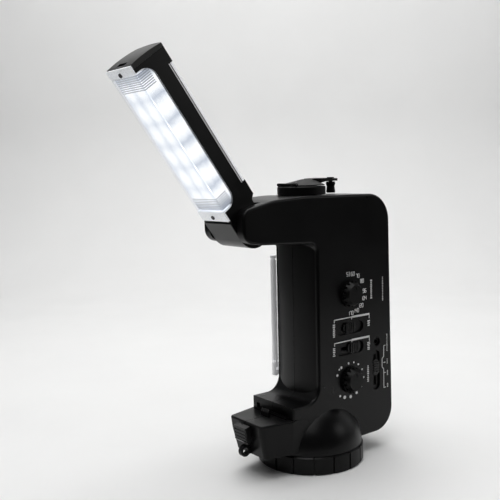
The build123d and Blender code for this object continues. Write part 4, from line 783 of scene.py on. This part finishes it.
def coil_spring(name, centre_x, centre_y, bottom, top, radius, material):
    """Upright compression spring of round wire with its end coils closed."""
    steps = int(SPRING_TURNS * STEPS_PER_TURN)
    path = []
    for k in range(steps + 1):
        part = k / steps
        # flat end coils, even pitch between them
        middle = min(max((part - END_SHARE) / (1 - 2 * END_SHARE), 0.0), 1.0)
        last = max((part - (1 - END_SHARE)) / END_SHARE, 0.0)
        rise = (END_RISE * min(part / END_SHARE, 1.0) + (1 - 2 * END_RISE) * middle
                + END_RISE * last)
        angle = math.tau * SPRING_TURNS * part
        path.append(Vector((centre_x + radius * math.cos(angle),
                            centre_y + radius * math.sin(angle),
                            bottom + WIRE_RADIUS + (top - bottom - 2 * WIRE_RADIUS) * rise)))
    verts, faces = [], []
    for k, place in enumerate(path):
        heading = (path[min(k + 1, steps)] - path[max(k - 1, 0)]).normalized()
        outward = Vector((place.x - centre_x, place.y - centre_y, 0)).normalized()
        upward = heading.cross(outward).normalized()
        for j in range(WIRE_SIDES):
            angle = math.tau * j / WIRE_SIDES
            verts.append(point(*(place + outward * (WIRE_RADIUS * math.cos(angle))
                                 + upward * (WIRE_RADIUS * math.sin(angle)))))
    for k in range(steps):
        for j in range(WIRE_SIDES):
            a = k * WIRE_SIDES + j
            b = k * WIRE_SIDES + (j + 1) % WIRE_SIDES
            faces.append((a, b, b + WIRE_SIDES, a + WIRE_SIDES))
    faces.append(tuple(range(WIRE_SIDES)))
    faces.append(tuple(steps * WIRE_SIDES + j for j in range(WIRE_SIDES)))
    return new_object(name, verts, faces, "radio_body", material, smooth=50)


def latch_coil():
    """The sprung coil in place of the CAD spring."""
    low, high = box_mm("latch_spring")
    centre_x = (low.x + high.x) / 2
    spring = coil_spring("latch_coil", centre_x, (low.y + high.y) / 2, low.z, high.z,
                         (high.y - low.y) / 2 - SPRING_CLEARANCE,
                         metal("spring_steel", colour=(0.6, 0.6, 0.62), rough=0.22))
    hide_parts("latch_spring")
    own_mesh(spring)


latch_coil()


# ------------------------------------------------------------------ speaker cloth
WEAVE_PITCH = 0.6
CLOTH_RINGS, CLOTH_SECTORS = 12, 60
CLOTH_THICKNESS = 0.05
CLOTH_SAG = 0.45            # depth of the dish at its middle
CLOTH_FLAT = 2.2            # width of the flat border round the dish
CLOTH_INSET = 0.3           # from the basket's outside to the cloth's rim
CLOTH_LIFT = 0.03           # from the basket's +Y side to the cloth's border


def weave(name):
    """Open black weave, finer than the grille slots."""
    graph = new_graph(name)
    axes = graph.node("SeparateXYZ", {0: graph.coords()}).outputs
    threads = [graph.calc("SINE", graph.calc("MULTIPLY", axes[axis],
                                             math.tau / (WEAVE_PITCH * MM)))
               for axis in ("X", "Z")]
    crossings = graph.calc("MULTIPLY", *threads)
    return graph.finish(graph.out("BsdfPrincipled", {
        "Base Color": graph.ramp(graph.remap(crossings, span=(-1.0, 1.0)),
                                 [(0.2, (0.012, 0.012, 0.013)), (0.8, (0.05, 0.05, 0.052))]),
        "Roughness": 0.85,
        "Sheen Weight": 0.25,
        "Normal": graph.bump(crossings, strength=0.7, depth=0.12),
    }))


def speaker_cloth():
    """Shallow dished disc on the +Y side of the speaker basket."""
    low, high = box_mm("speaker_basket")
    centre_x, centre_z = (low.x + high.x) / 2, (low.z + high.z) / 2
    rim = (high.x - low.x) / 2 - CLOTH_INSET
    border_y = high.y + CLOTH_LIFT
    verts, faces = [], []
    for lift in (0.0, CLOTH_THICKNESS):
        verts.append(point(centre_x, border_y - CLOTH_SAG + lift, centre_z))
        for i in range(1, CLOTH_RINGS + 1):
            radius = rim * i / CLOTH_RINGS
            part = min(radius / (rim - CLOTH_FLAT), 1.0)
            y = border_y - CLOTH_SAG * (1.0 - part * part) + lift
            for k in range(CLOTH_SECTORS):
                angle = math.tau * k / CLOTH_SECTORS
                verts.append(point(centre_x + radius * math.cos(angle), y,
                                   centre_z + radius * math.sin(angle)))

    def ring_pair(ring, k):
        """Two neighbouring vertices of a ring, counted from the innermost."""
        start = 1 + ring * CLOTH_SECTORS
        return start + k, start + (k + 1) % CLOTH_SECTORS

    skin = 1 + CLOTH_RINGS * CLOTH_SECTORS      # vertices in one skin
    for offset in (0, skin):
        for k in range(CLOTH_SECTORS):
            a, b = ring_pair(0, k)
            faces.append((offset, offset + a, offset + b))
        for i in range(CLOTH_RINGS - 1):
            for k in range(CLOTH_SECTORS):
                a, b = (offset + n for n in ring_pair(i, k))
                faces.append((a, b, b + CLOTH_SECTORS, a + CLOTH_SECTORS))
    for k in range(CLOTH_SECTORS):
        a, b = ring_pair(CLOTH_RINGS - 1, k)
        faces.append((a, b, b + skin, a + skin))
    new_object("speaker_cloth", verts, faces, "radio_body", weave("speaker_weave"), smooth=60)


speaker_cloth()


# ------------------------------------------------------------------ studio floor (metres)
SWEEP_FRONT, SWEEP_BACK = -0.2, 1.05
SWEEP_TOP = 1.6
SWEEP_CURVE, SWEEP_CURVE_STEPS = 0.35, 12       # radius of the bend from floor to wall
SWEEP_HALF_WIDTH = 0.66
APRON_RADIUS, APRON_Z, APRON_SIDES = 2600, -0.04, 96        # mm, mm
BACKDROP = (0.76, 0.76, 0.755, 1)               # pale grey seen beyond the paper


def studio_paper():
    graph = new_graph("studio_paper")
    slow = graph.noise(graph.coords(), scale=9.0, detail=3.0)
    return graph.finish(graph.out("BsdfPrincipled", {
        "Base Color": graph.ramp(slow, [(0.3, (0.80, 0.80, 0.795)), (0.7, (0.82, 0.82, 0.815))]),
        "Roughness": 0.6,
        "Specular IOR Level": 0.25,
    }))


def far_paper():
    """Paper that fades into the backdrop for the camera and is dark to all other rays."""
    graph = new_graph("studio_far_paper")
    paper = graph.out("BsdfPrincipled", {"Base Color": (0.81, 0.81, 0.805, 1),
                                         "Roughness": 0.6})
    backdrop = graph.out("Emission", {"Color": BACKDROP})
    distance = graph.vector("LENGTH", graph.coords())
    full_fade = 1.0         # share of the backdrop where the fade is complete
    fade = graph.calc("MULTIPLY", graph.remap(distance, span=(0.35, 1.3)), full_fade)
    dark = graph.out("BsdfDiffuse", {"Color": (0.02, 0.02, 0.02, 1)})
    return graph.finish(graph.mix_shaders(graph.out("LightPath", output="Is Camera Ray"), dark,
                                          graph.mix_shaders(fade, paper, backdrop)))


def sweep():
    """Paper sheet: floor, bend and wall, turned to face the camera."""
    bend_start = SWEEP_BACK - SWEEP_CURVE
    profile = [(SWEEP_FRONT, 0.0), (bend_start, 0.0)]
    for k in range(1, SWEEP_CURVE_STEPS + 1):
        angle = math.pi / 2 * k / SWEEP_CURVE_STEPS
        profile.append((bend_start + SWEEP_CURVE * math.sin(angle),
                        SWEEP_CURVE - SWEEP_CURVE * math.cos(angle)))
    profile.append((SWEEP_BACK, SWEEP_TOP))
    verts = [(x, y, z) for y, z in profile for x in (-SWEEP_HALF_WIDTH, SWEEP_HALF_WIDTH)]
    faces = [(2 * k, 2 * k + 1, 2 * k + 3, 2 * k + 2) for k in range(len(profile) - 1)]
    sheet = new_object("studio_sweep", verts, faces, None, studio_paper(), smooth=60)
    sheet.rotation_euler = (0, 0, VIEW_TURN)


def apron():
    """Wide disc just under the sweep."""
    turns = [math.tau * k / APRON_SIDES for k in range(APRON_SIDES)]
    verts = [point(APRON_RADIUS * math.cos(t), APRON_RADIUS * math.sin(t), APRON_Z)
             for t in turns]
    new_object("studio_apron", verts, [tuple(range(APRON_SIDES))], None, far_paper())


sweep()
apron()


# ------------------------------------------------------------------ lights (metres, watts)
def studio_place(right, away, z):
    """A place given to the camera's right, away from the camera, and up."""
    turn_cos, turn_sin = math.cos(VIEW_TURN), math.sin(VIEW_TURN)
    place = Vector((turn_cos, turn_sin, 0)) * right + Vector((-turn_sin, turn_cos, 0)) * away
    return Vector((place.x, place.y, z))


def area_light(name, place, aim, size, power, size_y=None):
    """Area light; place and aim are (right, away, z)."""
    light = bpy.data.lights.new(name, "AREA")
    light.energy = power
    light.size = size
    if size_y:
        light.shape = "RECTANGLE"
        light.size_y = size_y
    lamp = bpy.data.objects.new(name, light)
    bpy.context.scene.collection.objects.link(lamp)
    lamp.location = studio_place(*place)
    direction = studio_place(*aim) - studio_place(*place)
    lamp.rotation_euler = direction.to_track_quat("-Z", "Y").to_euler()


area_light("top_soft", place=(-0.1, 0.06, 1.35), aim=(0.0, -0.04, 0.05),
           size=1.2, size_y=1.0, power=14.8)
area_light("back_wall", place=(0.0, 0.45, 1.2), aim=(0, SWEEP_BACK, 0.3),
           size=1.4, size_y=0.6, power=4.6)
area_light("front_fill", place=(-0.15, -0.8, 1.3), aim=(0.0, 0.0, 0.0), size=0.9, power=3.9)
area_light("right_card", place=(1.15, -0.22, 0.62), aim=(0.0, 0.0, 0.25),
           size=0.5, size_y=0.45, power=1.4)
area_light("left_soft", place=(-1.2, 0.35, 0.7), aim=(0, 0, 0.12),
           size=0.7, size_y=0.9, power=0.6)
area_light("right_soft", place=(1.2, 0.55, 0.6), aim=(0.1, 0, 0.12),
           size=0.6, size_y=0.9, power=1.2)


def studio_world():
    """Dim for lighting, pale where the camera looks past the floor."""
    graph = Graph(bpy.data.worlds.new("studio"), "OutputWorld")
    dim = graph.out("Background", {"Color": (0.95, 0.97, 1.0, 1), "Strength": 0.04})
    seen = graph.out("Background", {"Color": BACKDROP})
    camera_ray = graph.out("LightPath", output="Is Camera Ray")
    return graph.finish(graph.mix_shaders(camera_ray, dim, seen))


bpy.context.scene.world = studio_world()


# ------------------------------------------------------------------ camera
CAMERA_PLACE = (-0.37697, -0.42257, 0.21682)    # metres
CAMERA_DIP = math.radians(5.78)                 # below the horizontal
CAMERA_ROLL = math.radians(-1.33)
SENSOR_WIDTH, FOCAL_LENGTH = 36.0, 54.72


def add_camera():
    forward = Vector((-math.sin(VIEW_TURN) * math.cos(CAMERA_DIP),
                      math.cos(VIEW_TURN) * math.cos(CAMERA_DIP), -math.sin(CAMERA_DIP)))
    level_right = Vector((math.cos(VIEW_TURN), math.sin(VIEW_TURN), 0))
    level_up = level_right.cross(forward)
    roll_cos, roll_sin = math.cos(CAMERA_ROLL), math.sin(CAMERA_ROLL)
    right = level_right * roll_cos + level_up * roll_sin
    upward = -level_right * roll_sin + level_up * roll_cos
    lens = bpy.data.cameras.new("camera")
    lens.sensor_width = SENSOR_WIDTH
    lens.lens = FOCAL_LENGTH
    camera = bpy.data.objects.new("camera", lens)
    bpy.context.scene.collection.objects.link(camera)
    pose = Matrix.Identity(4)
    for i in range(3):
        pose[i] = (right[i], upward[i], -forward[i], CAMERA_PLACE[i])
    camera.matrix_world = pose
    bpy.context.scene.camera = camera


add_camera()
bpy.context.scene.view_settings.view_transform = "Standard"
bpy.context.scene.view_settings.look = "None"
